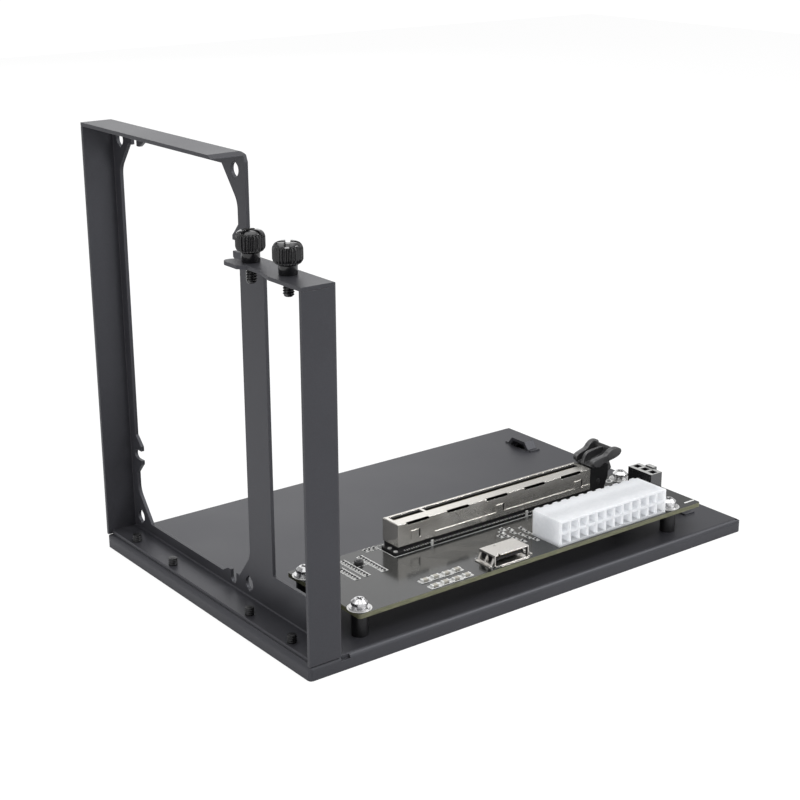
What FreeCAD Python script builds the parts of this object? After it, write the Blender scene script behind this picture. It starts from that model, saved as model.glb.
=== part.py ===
import FreeCAD, Part
import os
import re

import Sketcher

# External graphics card dock: a folded sheet tray carries an upright folded
# frame at its -X end and a card slot board on four standoffs. The frame's wide
# opening takes a desktop power supply's face, and its narrow one takes the
# card's bracket, held by two thumbscrews.
#
# Row frame: origin at the middle of the tray's foot, +X along the tray away
# from the upright frame, +Y towards the power supply's side, +Z up. All in mm.

SIZES = {
    # Tray: a flat top with four lips turned down.
    "tray_length": 194.0,
    "tray_width": 132.0,
    "tray_height": 5.0,
    "sheet": 1.2,
    "tray_bend": 1.8,
    "tray_corner": 1.2,
    "relief_near": 0.8,
    "relief_far": 2.2,
    "relief_depth": 1.1,
    "bend_slot_start": 11.8,
    "bend_slot_length": 3.4,
    # Lanced loops near the tray's free end.
    "loop_length": 16.0,
    "loop_width": 5.0,
    "loop_rise": 3.4,
    "loop_foot": 3.0,
    "loop_end_gap": 12.0,
    "loop_side_gap": 22.5,
    # Upright frame, folded from one sheet.
    "web_setback": 11.2,
    "supply_width": 86.0,
    "supply_height": 150.0,
    "supply_rim": 5.0,
    "gusset_leg": 8.5,
    "gusset_rise": 10.8,
    "gusset_round": 7.0,
    "hole_inset": 6.0,
    "supply_hole": 2.3,
    "hole_stretch": 1.95,
    "hole_stretch_radius": 0.85,
    "notch_step": 30.0,
    "notch_short_step": 16.0,
    "side_ear_depth": 8.7,
    "end_ear_depth": 6.9,
    "ear_root": 7.8,
    "fin_tip": 3.6,
    "knob_tip": 3.2,
    "knob_round": 1.6,
    "notch_mouth": 1.8,
    "card_top": 119.0,
    "card_sill": 13.8,
    "card_opening": 36.1,
    "card_head_band": 3.0,
    "plate_reach": 39.5,
    "tongue_reach_out": 43.2,
    "tongue_width": 4.8,
    "tongue_round": 2.2,
    "scallop_start": 17.0,
    "scallop_middle": 25.0,
    "scallop_end": 34.5,
    "scallop_depth": 2.2,
    "frame_corner": 3.0,
    "frame_bend": 1.1,
    "inner_bend": 0.5,
    "fold_gap": 0.1,
    "floor_inset": 1.6,
    # Screws that hold the frame to the tray.
    "frame_screw_inset": 4.0,
    "frame_screw_a": 15.8,
    "frame_screw_b": 40.7,
    "frame_screw_c": 41.5,
    "frame_screw_d": 15.5,
    "frame_screw_thread": 1.45,
    "frame_screw_rise": 2.6,
    "frame_head": 2.15,
    "frame_head_height": 1.6,
    "running_gap": 0.06,
    # Board and its standoffs.
    "board_end_gap": 22.3,
    "board_front_gap": 5.0,
    "board_length": 154.5,
    "board_width": 41.0,
    "board_sheet": 1.6,
    "board_corner": 1.0,
    "board_hole": 1.7,
    "hole_left": 3.2,
    "hole_right_front": 12.3,
    "hole_right_back": 6.3,
    "hole_front": 4.4,
    "hole_back": 35.5,
    "standoff_radius": 2.8,
    "standoff_height": 7.6,
    "standoff_spigot": 1.9,
    "screw_thread": 1.25,
    "screw_length": 6.0,
    "screw_head": 2.75,
    "screw_head_height": 1.9,
    "washer_radius": 3.5,
    "washer_sheet": 0.5,
    "spring_radius": 2.5,
    "spring_height": 0.8,
    "spring_split": 0.6,
    # Card slot.
    "slot_from_right": 26.8,
    "slot_from_front": 31.0,
    "slot_length": 89.0,
    "slot_width": 8.0,
    "slot_height": 10.2,
    "slit_middle": 5.85,
    "slit_width": 1.8,
    "slit_depth": 8.6,
    "slit_margin": 1.75,
    "slit_short": 12.4,
    "slit_bridge": 1.85,
    "plinth_front": 1.4,
    "plinth_left": 2.2,
    "plinth_height": 0.8,
    "shield_sheet": 0.35,
    "shield_clear": 2.1,
    "shield_side_gap": 0.65,
    "fold_slit_start": 3.5,
    "fold_slit_length": 9.5,
    "fold_slit_step": 17.75,
    "fold_slit_deep": 0.6,
    "lug_start": 5.3,
    "lug_length": 3.2,
    "lug_step": 37.9,
    "lug_low": 4.0,
    "lug_high": 6.9,
    "lug_raise": 0.25,
    "lug_slot": 0.8,
    "crease_start": 15.5,
    "crease_high": 4.2,
    "crease_raise": 0.2,
    "cheek_length": 9.5,
    "cheek_taper": 2.2,
    "cheek_sheet": 1.7,
    "cheek_gap": 0.15,
    "pivot_along": 4.8,
    "pivot_height": 4.0,
    "pivot_radius": 1.2,
    # Latch at the slot's free end.
    "stem_inner": 3.6,
    "stem_foot": 2.6,
    "stem_knee": 7.4,
    "latch_head_width": 14.6,
    "latch_neck_width": 8.4,
    "latch_head_sheet": 2.0,
    "latch_inner": 4.9,
    "latch_reach": 8.6,
    "latch_head_low": 6.9,
    "latch_head_high": 10.9,
    "latch_bowl": 3.9,
    "wing_rise": 1.7,
    "wing_flare": 3.0,
    "rib_width": 0.9,
    "rib_step": 2.2,
    "rib_rise": 0.35,
    # Power connector with two rows of twelve cells.
    "power_from_right": 17.6,
    "power_from_front": 0.8,
    "power_pitch": 4.2,
    "power_end_wall": 0.65,
    "power_depth": 13.9,
    "power_height": 9.4,
    "power_bevel": 0.9,
    "cell_size": 3.3,
    "cell_depth": 9.5,
    "pin_size": 1.0,
    "pin_reach": 7.0,
    "pin_tail": 1.3,
    # Cable socket.
    "socket_from_right": 82.3,
    "socket_from_front": 2.0,
    "socket_width": 15.0,
    "socket_depth": 8.2,
    "socket_height": 3.9,
    "socket_sheet": 0.35,
    "socket_lip": 0.8,
    "socket_step": 0.7,
    "socket_flare": 1.1,
    "socket_foot": 2.1,
    "socket_window": 2.6,
    "socket_post": 0.6,
    "socket_notch": 1.0,
    "tongue_sheet": 1.0,
    "tongue_margin": 1.4,
    "tongue_reach": 5.6,
    # Fan header behind the power connector.
    "header_from_right": 7.7,
    "header_from_front": 12.6,
    "header_length": 11.8,
    "header_width": 5.6,
    "header_height": 9.9,
    "header_pitch": 3.9,
    "header_cell": 2.6,
    "header_depth": 6.5,
    "ramp_reach": 1.3,
    "ramp_rise": 0.6,
    "ramp_foot": 4.0,
    # Thumbscrews for the card's bracket.
    "thumb_inset": 6.2,
    "thumb_middle": 26.0,
    "thumb_pitch": 20.32,
    "thumb_thread": 1.7,
    "thumb_thread_length": 6.6,
    "thumb_collar": 2.95,
    "thumb_collar_height": 3.0,
    "thumb_head": 4.65,
    "thumb_head_height": 6.8,
    "thumb_core": 4.1,
    "thumb_crown": 1.7,
    "thumb_under": 0.7,
    "knurl_depth": 0.34,
    "cross_width": 1.2,
    "cross_depth": 1.6,
    "cross_turn_1": 53.0,
    "cross_turn_2": 20.0,
}
KNURLS = 30
POWER_COLUMNS = 12
HEADER_CELLS = 3
FOLD_SLITS = 5
LUGS = 3
LATCH_RIBS = 3

doc = FreeCAD.newDocument("card_dock")
sheet = doc.addObject("Spreadsheet::Sheet", "sizes")
for row, (alias, number) in enumerate(SIZES.items(), start=1):
    sheet.set(f"A{row}", alias)
    sheet.set(f"B{row}", str(number))
    sheet.setAlias(f"B{row}", alias)
doc.recompute()

nodes = []


def link(text):
    """Return a formula in size names as the document's objects read it."""
    def full_name(word):
        return f"sizes.{word[0]}" if word[0] in SIZES else word[0]
    return re.sub(r"[a-z]\w+", full_name, str(text))


def value(text):
    """Return what a formula in size names comes to now."""
    return float(sheet.evalExpression(link(text)))


def bind(item, **formulas):
    """Bind properties to formulas; two underscores in a name stand for a dot."""
    for name, formula in formulas.items():
        item.setExpression(name.replace("__", "."), link(formula))


def place(item, x="0", y="0", z="0"):
    """Put an item at a place that follows the sizes."""
    bind(item, Placement__Base__x=x, Placement__Base__y=y, Placement__Base__z=z)


def node(item, label):
    """Name an item as one sub-part of the dock."""
    item.Label = label
    nodes.append(item)
    return item


def new_body(label):
    return node(doc.addObject("PartDesign::Body", label), label)


def sketch_on(body, role, height="0"):
    """Start a sketch on one of the body's planes, moved along its normal."""
    plane = next(item for item in body.Origin.OriginFeatures if item.Role == role)
    sketch = body.newObject("Sketcher::SketchObject", "sketch")
    sketch.AttachmentSupport = [(plane, "")]
    sketch.MapMode = "FlatFace"
    bind(sketch, AttachmentOffset__Base__z=height)
    return sketch


def fix_point(sketch, curve, end, formulas):
    """Tie one point of a sketch curve to two formulas."""
    for kind, formula in zip(("DistanceX", "DistanceY"), formulas):
        rule = Sketcher.Constraint(kind, -1, 1, curve, end, value(formula))
        place_in_list = sketch.addConstraint(rule)
        sketch.setExpression(f"Constraints[{place_in_list}]", link(formula))


def outline(sketch, corners):
    """Draw a closed outline of straight lines through the given corners."""
    spots = [FreeCAD.Vector(value(u), value(v), 0) for u, v in corners]
    lines = []
    for here, there in zip(spots, spots[1:] + spots[:1]):
        lines.append(sketch.addGeometry(Part.LineSegment(here, there), False))
    for line, following in zip(lines, lines[1:] + lines[:1]):
        sketch.addConstraint(Sketcher.Constraint("Coincident", line, 2, following, 1))
    for line, corner in zip(lines, corners):
        fix_point(sketch, line, 1, corner)


def rectangle(sketch, left, low, right, high):
    outline(sketch, [(left, low), (right, low), (right, high), (left, high)])


def circle(sketch, u, v, radius):
    middle = FreeCAD.Vector(value(u), value(v), 0)
    ring = Part.Circle(middle, FreeCAD.Vector(0, 0, 1), value(radius))
    curve = sketch.addGeometry(ring, False)
    fix_point(sketch, curve, 3, (u, v))
    rule = sketch.addConstraint(Sketcher.Constraint("Radius", curve, value(radius)))
    sketch.setExpression(f"Constraints[{rule}]", link(radius))


def pad(body, sketch, length, back=False, both=False):
    """Raise a sketch; back goes against its normal, both is half each way."""
    feature = body.newObject("PartDesign::Pad", "pad")
    feature.Profile = sketch
    feature.Reversed = back
    feature.Midplane = both
    bind(feature, Length=length)
    doc.recompute()
    return feature


def pocket(body, sketch, depth, back=False, both=False):
    """Sink a sketch against its normal; back cuts along the normal."""
    feature = body.newObject("PartDesign::Pocket", "pocket")
    feature.Profile = sketch
    feature.Reversed = back
    feature.Midplane = both
    bind(feature, Length=depth)
    doc.recompute()
    return feature


def revolve(body, sketch):
    feature = body.newObject("PartDesign::Revolution", "revolution")
    feature.Profile = sketch
    feature.ReferenceAxis = (sketch, ["V_Axis"])
    feature.Angle = 360
    doc.recompute()
    return feature


def fillet(body, radius, wanted):
    """Round the edges of the body's tip whose two ends pass a test."""
    tip = body.Tip
    names = []
    for count, edge in enumerate(tip.Shape.Edges, start=1):
        ends = [vertex.Point for vertex in edge.Vertexes]
        if len(ends) == 2 and wanted(*ends):
            names.append(f"Edge{count}")
    feature = body.newObject("PartDesign::Fillet", "fillet")
    feature.Base = (tip, names)
    bind(feature, Radius=radius)
    doc.recompute()
    return feature


def near(a, b):
    return abs(a - b) < 1e-4


END = "(-tray_length / 2)"
FRONT = "(-tray_width / 2)"
BACK = "(tray_width / 2)"
WEB = f"({END} + web_setback)"
SUPPLY_TOP = "(tray_height + supply_height)"
SUPPLY_EDGE = "(tray_width / 2 - supply_width)"
CARD_TOP = "(tray_height + card_top)"

FRAME_SCREWS = [
    (f"{END} + frame_screw_inset", f"{FRONT} + frame_screw_a"),
    (f"{END} + frame_screw_inset", f"{FRONT} + frame_screw_b"),
    (f"{END} + frame_screw_inset", f"{BACK} - frame_screw_c"),
    (f"{END} + frame_screw_inset", f"{BACK} - frame_screw_d"),
]
THUMBS = [
    (f"{END} + thumb_inset", f"{FRONT} + thumb_middle - thumb_pitch / 2"),
    (f"{END} + thumb_inset", f"{FRONT} + thumb_middle + thumb_pitch / 2"),
]

BOARD_LEFT = f"({END} + board_end_gap)"
BOARD_FRONT = f"({FRONT} + board_front_gap)"
BOARD_UNDER = "(tray_height + standoff_height)"
BOARD_TOP = f"({BOARD_UNDER} + board_sheet)"
HOLES_ON_BOARD = [
    ("hole_left", "hole_front"), ("hole_left", "hole_back"),
    ("board_length - hole_right_front", "hole_front"), ("board_length - hole_right_back", "hole_back"),
]
BOARD_HOLES = [(f"{BOARD_LEFT} + {x}", f"{BOARD_FRONT} + {y}") for x, y in HOLES_ON_BOARD]
POWER_LENGTH = f"(power_pitch * {POWER_COLUMNS} + power_end_wall * 2)"
SLOT_LEFT = "(board_length - slot_from_right - slot_length)"
POWER_LEFT = f"(board_length - power_from_right - {POWER_LENGTH})"
SOCKET_LEFT = "(board_length - socket_from_right - socket_width)"
HEADER_LEFT = "(board_length - header_from_right - header_width)"
LOOPS = ["loop_side_gap - tray_width / 2", "tray_width / 2 - loop_side_gap"]


def base_tray():
    """Flat top with rounded bends, lips on all sides and corner reliefs."""
    body = new_body("base_tray")
    blank = sketch_on(body, "XY_Plane")
    rectangle(blank, END, FRONT, "tray_length / 2", BACK)
    pad(body, blank, "tray_height")
    top = value("tray_height")
    fillet(body, "tray_bend", lambda a, b: near(a.z, top) and near(b.z, top))
    hollow = sketch_on(body, "XY_Plane")
    rectangle(hollow, f"{END} + sheet", f"{FRONT} + sheet", "tray_length / 2 - sheet", f"{BACK} - sheet")
    pocket(body, hollow, "tray_height - sheet", back=True)
    roof = value("tray_height - sheet")
    fillet(body, "tray_bend - sheet", lambda a, b: near(a.z, roof) and near(b.z, roof))
    holes = sketch_on(body, "XY_Plane")
    for x, y in FRAME_SCREWS:
        circle(holes, x, y, "frame_screw_thread + running_gap")
    for x, y in BOARD_HOLES:
        circle(holes, x, y, "standoff_spigot + running_gap")
    for y in LOOPS:
        inner = "loop_length / 2 - loop_foot"
        rectangle(holes, "tray_length / 2 - loop_end_gap - loop_width / 2", f"{y} - ({inner})",
                  "tray_length / 2 - loop_end_gap + loop_width / 2", f"{y} + ({inner})")
    pocket(body, holes, "tray_height * 4", both=True)
    corners = sketch_on(body, "XY_Plane")
    reliefs = sketch_on(body, "XY_Plane", "tray_height")
    for end in ("-", ""):
        for side in ("-", ""):
            x, y = f"{end}(tray_length / 2", f"{side}(tray_width / 2"
            outline(corners, [(f"{x})", f"{y})"), (f"{x} - tray_corner)", f"{y})"),
                              (f"{x} - tray_corner * 0.3)", f"{y} - tray_corner * 0.3)"),
                              (f"{x})", f"{y} - tray_corner)")])
            outline(reliefs, [
                (f"{x} - relief_near)", f"{y} - relief_far)"),
                (f"{x} - relief_near)", f"{y} - relief_near)"),
                              (f"{x} - relief_far)", f"{y} - relief_near)")])
    pocket(body, corners, "tray_height * 4", both=True)
    pocket(body, reliefs, "relief_depth")
    slot = sketch_on(body, "XY_Plane", "tray_height")
    start = f"{END} + bend_slot_start"
    rectangle(slot, start, f"{FRONT} - sheet", f"{start} + bend_slot_length", f"{FRONT} + sheet * 0.8")
    pocket(body, slot, "tray_bend * 0.85")
    for y in LOOPS:
        arch = sketch_on(body, "YZ_Plane", "tray_length / 2 - loop_end_gap")
        half = "loop_length / 2"
        foot = f"{half} - loop_foot"
        crown = f"{foot} - loop_rise / 2"
        base = "tray_height - sheet / 2"
        rise = "tray_height + loop_rise"
        outline(arch, [
            (f"{y} - {half}", base), (f"{y} - ({foot})", base),
            (f"{y} - ({crown})", f"{rise} - sheet"), (f"{y} + {crown}", f"{rise} - sheet"),
            (f"{y} + {foot}", base), (f"{y} + {half}", base),
            (f"{y} + {half}", "tray_height + sheet / 2"),
            (f"{y} + {foot} + sheet", "tray_height + sheet / 2"),
            (f"{y} + {crown} + sheet / 2", rise), (f"{y} - ({crown}) - sheet / 2", rise),
            (f"{y} - ({foot}) - sheet", "tray_height + sheet / 2"),
            (f"{y} - {half}", "tray_height + sheet / 2"),
        ])
        pad(body, arch, "loop_width", both=True)


def on_top(along, depth):
    return f"{BACK} - (notch_short_step + {along})", f"{SUPPLY_TOP} - ({depth})"


def on_bottom(along, depth):
    return f"{SUPPLY_EDGE} + notch_short_step + {along}", f"tray_height + {depth}"


def on_back(along, depth):
    return f"{BACK} - ({depth})", f"tray_height + notch_step + {along}"


def on_inner(along, depth):
    return f"{SUPPLY_EDGE} + {depth}", f"{SUPPLY_TOP} - (notch_step + {along})"


NOTCHES = [(on_top, "end_ear_depth"), (on_bottom, "end_ear_depth"),
           (on_back, "side_ear_depth"), (on_inner, "side_ear_depth")]


def upright_frame():
    """Web with the two openings, and the flanges folded outwards around it."""
    body = new_body("upright_frame")
    web = sketch_on(body, "YZ_Plane", WEB)
    outline(web, [(FRONT, "tray_height"), (BACK, "tray_height"), (BACK, SUPPLY_TOP),
                  (SUPPLY_EDGE, SUPPLY_TOP), (SUPPLY_EDGE, CARD_TOP), (FRONT, CARD_TOP)])
    pad(body, web, "sheet")

    opening = sketch_on(body, "YZ_Plane", WEB)
    left = f"{BACK} - supply_rim"
    right = f"{SUPPLY_EDGE} + supply_rim"
    low = "tray_height + supply_rim"
    high = f"{SUPPLY_TOP} - supply_rim"
    outline(opening, [
        (f"{right} + gusset_leg", low), (f"{left} - gusset_leg", low),
        (left, f"{low} + gusset_rise"), (left, f"{high} - gusset_rise"),
        (f"{left} - gusset_leg", high), (f"{right} + gusset_leg", high),
        (right, f"{high} - gusset_rise"), (right, f"{low} + gusset_rise"),
    ])
    rectangle(opening, f"{FRONT} + sheet", "tray_height + card_sill",
              f"{FRONT} + sheet + card_opening", f"{CARD_TOP} - sheet - card_head_band")
    pocket(body, opening, "sheet * 3", both=True)
    rises = [(value(y), value(z)) for y in (left, right)
             for z in (f"{low} + gusset_rise", f"{high} - gusset_rise")]
    fillet(body, "gusset_round", lambda a, b: not near(a.x, b.x) and near(a.z, b.z)
           and any(near(a.y, y) and near(a.z, z) for y, z in rises))

    for spot, depth in NOTCHES:
        ear = sketch_on(body, "YZ_Plane", WEB)
        outline(ear, [spot("-ear_root", "supply_rim - sheet / 2"), spot("ear_root", "supply_rim - sheet / 2"),
                      spot("fin_tip", depth), spot("-knob_tip", depth),
                      spot("-knob_tip - knob_round", f"{depth} - knob_round")])
        pad(body, ear, "sheet")

    holes = sketch_on(body, "YZ_Plane", WEB)
    for y in (f"{BACK} - hole_inset", f"{SUPPLY_EDGE} + hole_inset"):
        for z in ("tray_height + hole_inset", f"{SUPPLY_TOP} - hole_inset"):
            circle(holes, y, z, "supply_hole")
    for spot, depth in NOTCHES:
        circle(holes, *spot("0", f"{depth} * 0.65"), "notch_mouth")
    pocket(body, holes, "sheet * 3", both=True)
    for shift in ("hole_stretch", "-hole_stretch"):
        longer = sketch_on(body, "YZ_Plane", WEB)
        for y in (f"{BACK} - hole_inset", f"{SUPPLY_EDGE} + hole_inset"):
            for z in ("tray_height + hole_inset", f"{SUPPLY_TOP} - hole_inset"):
                circle(longer, y, f"{z} + {shift}", "hole_stretch_radius")
        pocket(body, longer, "sheet * 3", both=True)
    mouths = sketch_on(body, "YZ_Plane", WEB)
    for spot, depth in NOTCHES:
        outline(mouths, [spot("-notch_mouth", f"{depth} * 0.65"), spot("notch_mouth", f"{depth} * 0.65"),
                         spot("notch_mouth", f"{depth} + sheet"), spot("-notch_mouth", f"{depth} + sheet")])
    pocket(body, mouths, "sheet * 3", both=True)

    side = sketch_on(body, "XZ_Plane", "-tray_width / 2")
    rectangle(side, END, "tray_height", f"{WEB} + sheet / 2", f"{SUPPLY_TOP} - sheet - fold_gap")
    pad(body, side, "sheet")
    side = sketch_on(body, "XZ_Plane", "tray_width / 2")
    rectangle(side, END, "tray_height", f"{WEB} + sheet / 2", f"{CARD_TOP} - sheet - fold_gap")
    pad(body, side, "sheet", back=True)
    roof = sketch_on(body, "XY_Plane", SUPPLY_TOP)
    rectangle(roof, END, SUPPLY_EDGE, f"{WEB} + sheet / 2", BACK)
    pad(body, roof, "sheet", back=True)
    plate = sketch_on(body, "XY_Plane", CARD_TOP)
    outline(plate, [
        (END, FRONT), (f"{WEB} + sheet / 2", FRONT), (f"{WEB} + sheet / 2", f"{FRONT} + plate_reach"),
        (f"{END} + tongue_width", f"{FRONT} + plate_reach"),
        (f"{END} + tongue_width", f"{FRONT} + tongue_reach_out"), (END, f"{FRONT} + tongue_reach_out"),
        (END, f"{FRONT} + scallop_end"), (f"{END} + scallop_depth", f"{FRONT} + scallop_end - scallop_depth"),
        (f"{END} + scallop_depth", f"{FRONT} + scallop_middle"), (END, f"{FRONT} + scallop_start"),
    ])
    pad(body, plate, "sheet", back=True)
    floor = sketch_on(body, "XY_Plane", "tray_height")
    rectangle(floor, f"{END} + floor_inset", f"{FRONT} + sheet + fold_gap",
              f"{WEB} + sheet / 2", f"{BACK} - sheet - fold_gap")
    pad(body, floor, "sheet")

    screws = sketch_on(body, "XY_Plane", "tray_height")
    for x, y in FRAME_SCREWS:
        circle(screws, x, y, "frame_screw_thread + running_gap")
    pocket(body, screws, "sheet * 3", both=True)
    taps = sketch_on(body, "XY_Plane", CARD_TOP)
    for x, y in THUMBS:
        circle(taps, x, y, "thumb_thread + running_gap")
    pocket(body, taps, "sheet * 3", both=True)

    outer = value(f"{WEB} + sheet")
    top = value(SUPPLY_TOP)
    plate_top = value(CARD_TOP)
    half = value(BACK)
    tip = value(f"{FRONT} + tongue_reach_out")
    inside = value(WEB)

    fillet(body, "tongue_round", lambda a, b: near(a.x, b.x) and near(a.y, tip) and near(b.y, tip))

    def on_bend(a, b):
        if not (near(a.x, outer) and near(b.x, outer)):
            return False
        upright = near(abs(a.y), half) and near(a.y, b.y)
        level = near(a.z, b.z) and (near(a.z, top) or near(a.z, plate_top) or near(a.z, value("tray_height")))
        return upright or level
    fillet(body, "frame_bend", on_bend)
    corner = sketch_on(body, "YZ_Plane", WEB)
    outline(corner, [(SUPPLY_EDGE, SUPPLY_TOP), (f"{SUPPLY_EDGE} + frame_corner", SUPPLY_TOP),
                     (f"{SUPPLY_EDGE} + frame_corner * 0.3", f"{SUPPLY_TOP} - frame_corner * 0.3"),
                     (SUPPLY_EDGE, f"{SUPPLY_TOP} - frame_corner")])
    pocket(body, corner, "web_setback * 3", both=True)
    floor_top = value("tray_height + sheet")
    fillet(body, "inner_bend", lambda a, b: near(a.x, inside) and near(b.x, inside)
           and near(a.z, floor_top) and near(b.z, floor_top) and abs(a.y - b.y) > half)


def frame_screw(count, x, y):
    """Pan head screw from under the tray; its end stands above the flange."""
    body = new_body(f"frame_screw_{count}")
    side = sketch_on(body, "XZ_Plane")
    rise = "sheet * 2 + frame_screw_rise"
    outline(side, [
        ("0", "-frame_head_height"), ("frame_head * 0.6", "-frame_head_height"), ("frame_head", "0"),
        ("frame_screw_thread", "0"), ("frame_screw_thread", rise), ("0", rise),
    ])
    revolve(body, side)
    place(body, x, y, "tray_height - sheet")


def standoff(count, x, y):
    """Round standoff with a bore for the board's screw, riveted in the tray."""
    body = new_body(f"standoff_{count}")
    side = sketch_on(body, "XZ_Plane")
    bore = "screw_thread + running_gap"
    outline(side, [(bore, "-sheet"), ("standoff_spigot", "-sheet"), ("standoff_spigot", "0"),
                   ("standoff_radius", "0"), ("standoff_radius", "standoff_height"),
                   (bore, "standoff_height")])
    revolve(body, side)
    place(body, x, y, "tray_height")


def board_screw(count, x, y):
    """Pan head screw, spring washer and flat washer on one board hole."""
    washer = new_body(f"board_washer_{count}")
    ring = sketch_on(washer, "XY_Plane")
    circle(ring, "0", "0", "washer_radius")
    circle(ring, "0", "0", "screw_thread + running_gap")
    pad(washer, ring, "washer_sheet")
    place(washer, x, y, BOARD_TOP)

    spring = new_body(f"spring_washer_{count}")
    ring = sketch_on(spring, "XY_Plane")
    circle(ring, "0", "0", "spring_radius")
    circle(ring, "0", "0", "screw_thread + running_gap")
    pad(spring, ring, "spring_height")
    split = sketch_on(spring, "XY_Plane")
    rectangle(split, "0", "-spring_split / 2", "spring_radius * 2", "spring_split / 2")
    pocket(spring, split, "spring_height * 3", both=True)
    place(spring, x, y, f"{BOARD_TOP} + washer_sheet")

    screw = new_body(f"board_screw_{count}")
    side = sketch_on(screw, "XZ_Plane")
    outline(side, [
        ("0", "-screw_length"), ("screw_thread", "-screw_length"), ("screw_thread", "0"), ("screw_head", "0"),
        ("screw_head", "screw_head_height * 0.5"), ("screw_head * 0.6", "screw_head_height"),
        ("0", "screw_head_height"),
    ])
    revolve(screw, side)
    cross = sketch_on(screw, "XY_Plane", "screw_head_height")
    arm = "screw_head * 0.5"
    half = "screw_thread * 0.25"
    rectangle(cross, f"-{arm}", f"-{half}", arm, half)
    pocket(screw, cross, "screw_head_height * 0.5")
    cross = sketch_on(screw, "XY_Plane", "screw_head_height")
    rectangle(cross, f"-{half}", f"-{arm}", half, arm)
    pocket(screw, cross, "screw_head_height * 0.5")
    place(screw, x, y, f"{BOARD_TOP} + washer_sheet + spring_height")


def circuit_board():
    """Bare board with rounded corners and four fixing holes."""
    body = new_body("circuit_board")
    blank = sketch_on(body, "XY_Plane")
    rectangle(blank, "0", "0", "board_length", "board_width")
    pad(body, blank, "board_sheet")
    fillet(body, "board_corner", lambda a, b: near(a.x, b.x) and near(a.y, b.y))
    holes = sketch_on(body, "XY_Plane")
    for x, y in HOLES_ON_BOARD:
        circle(holes, x, y, "board_hole")
    pocket(body, holes, "board_sheet * 3", both=True)
    place(body, BOARD_LEFT, BOARD_FRONT, BOARD_UNDER)


def on_board(item, x, y):
    """Stand a piece on the board, measured from its left front corner."""
    place(item, f"{BOARD_LEFT} + {x}", f"{BOARD_FRONT} + {y}", BOARD_TOP)


def slits(sketch, end="0", side="0"):
    """Draw the two card slits either side of the key bridge, made larger by end and side."""
    low = f"slit_middle - slit_width / 2 - {side}"
    high = f"slit_middle + slit_width / 2 + {side}"
    bridge = "(slit_margin + slit_short)"
    rectangle(sketch, f"slit_margin - {end}", low, f"{bridge} + {end}", high)
    rectangle(sketch, f"{bridge} + slit_bridge - {end}", low, f"slot_length - slit_margin + {end}", high)


def slot_housing():
    """Long moulded slot with a key bridge, and cheeks that carry the latch."""
    body = new_body("slot_housing")
    blank = sketch_on(body, "XY_Plane")
    rectangle(blank, "0", "0", "slot_length", "slot_width")
    pad(body, blank, "slot_height - shield_sheet")
    card = sketch_on(body, "XY_Plane", "slot_height - shield_sheet")
    slits(card)
    pocket(body, card, "slit_depth")
    plinth = sketch_on(body, "XY_Plane")
    rectangle(plinth, "-plinth_left", "-plinth_front", "slot_length + cheek_length - cheek_taper",
              "slot_width - plinth_front")
    pad(body, plinth, "plinth_height")
    for far in ("0", "slot_width - cheek_sheet"):
        cheek = sketch_on(body, "XZ_Plane", f"-({far})")
        reach = "slot_length + cheek_length"
        outline(cheek, [("slot_length - sheet", "0"), (f"{reach} - cheek_taper", "0"),
                        (reach, "slot_height / 2"), (reach, "slot_height - shield_sheet"),
                        ("slot_length - sheet", "slot_height - shield_sheet")])
        pad(body, cheek, "cheek_sheet", back=True)
    bores = sketch_on(body, "XZ_Plane")
    circle(bores, "slot_length + pivot_along", "pivot_height", "pivot_radius + running_gap")
    pocket(body, bores, "slot_width * 3", both=True)
    on_board(body, SLOT_LEFT, "slot_from_front")


def slot_shield():
    """Sheet metal cover over the slot's top and sides, open where cards enter."""
    body = new_body("slot_shield")
    blank = sketch_on(body, "XY_Plane", "shield_clear")
    rectangle(blank, "-shield_sheet", "-shield_sheet", "slot_length", "slot_width + shield_sheet")
    pad(body, blank, "slot_height - shield_clear")
    inside = sketch_on(body, "XY_Plane", "shield_clear")
    rectangle(inside, "0", "0", "slot_length + sheet", "slot_width")
    pocket(body, inside, "slot_height - shield_clear - shield_sheet", back=True)
    card = sketch_on(body, "XY_Plane", "slot_height")
    slits(card, "shield_sheet", "shield_side_gap")
    pocket(body, card, "shield_sheet * 3", both=True)
    folds = sketch_on(body, "XZ_Plane", "shield_sheet * 3")
    for count in range(FOLD_SLITS):
        start = f"fold_slit_start + fold_slit_step * {count}"
        rectangle(folds, start, "slot_height - shield_sheet * 0.7 - fold_slit_deep",
                  f"{start} + fold_slit_length", "slot_height - shield_sheet * 0.7")
    pocket(body, folds, "shield_sheet * 4")
    crease = sketch_on(body, "XZ_Plane", "shield_sheet / 2")
    rectangle(crease, "crease_start", "shield_clear", "slot_length", "crease_high")
    pad(body, crease, "shield_sheet / 2 + crease_raise")
    lugs = sketch_on(body, "XZ_Plane", "shield_sheet / 2")
    gaps = sketch_on(body, "XZ_Plane", "shield_sheet * 3")
    for count in range(LUGS):
        start = f"lug_start + lug_step * {count}"
        rectangle(lugs, start, "lug_low", f"{start} + lug_length", "lug_high")
        rectangle(gaps, f"{start} + lug_length", "lug_low", f"{start} + lug_length + lug_slot", "lug_high")
    pad(body, lugs, "shield_sheet / 2 + lug_raise")
    pocket(body, gaps, "shield_sheet * 4")
    on_board(body, SLOT_LEFT, "slot_from_front")


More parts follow.
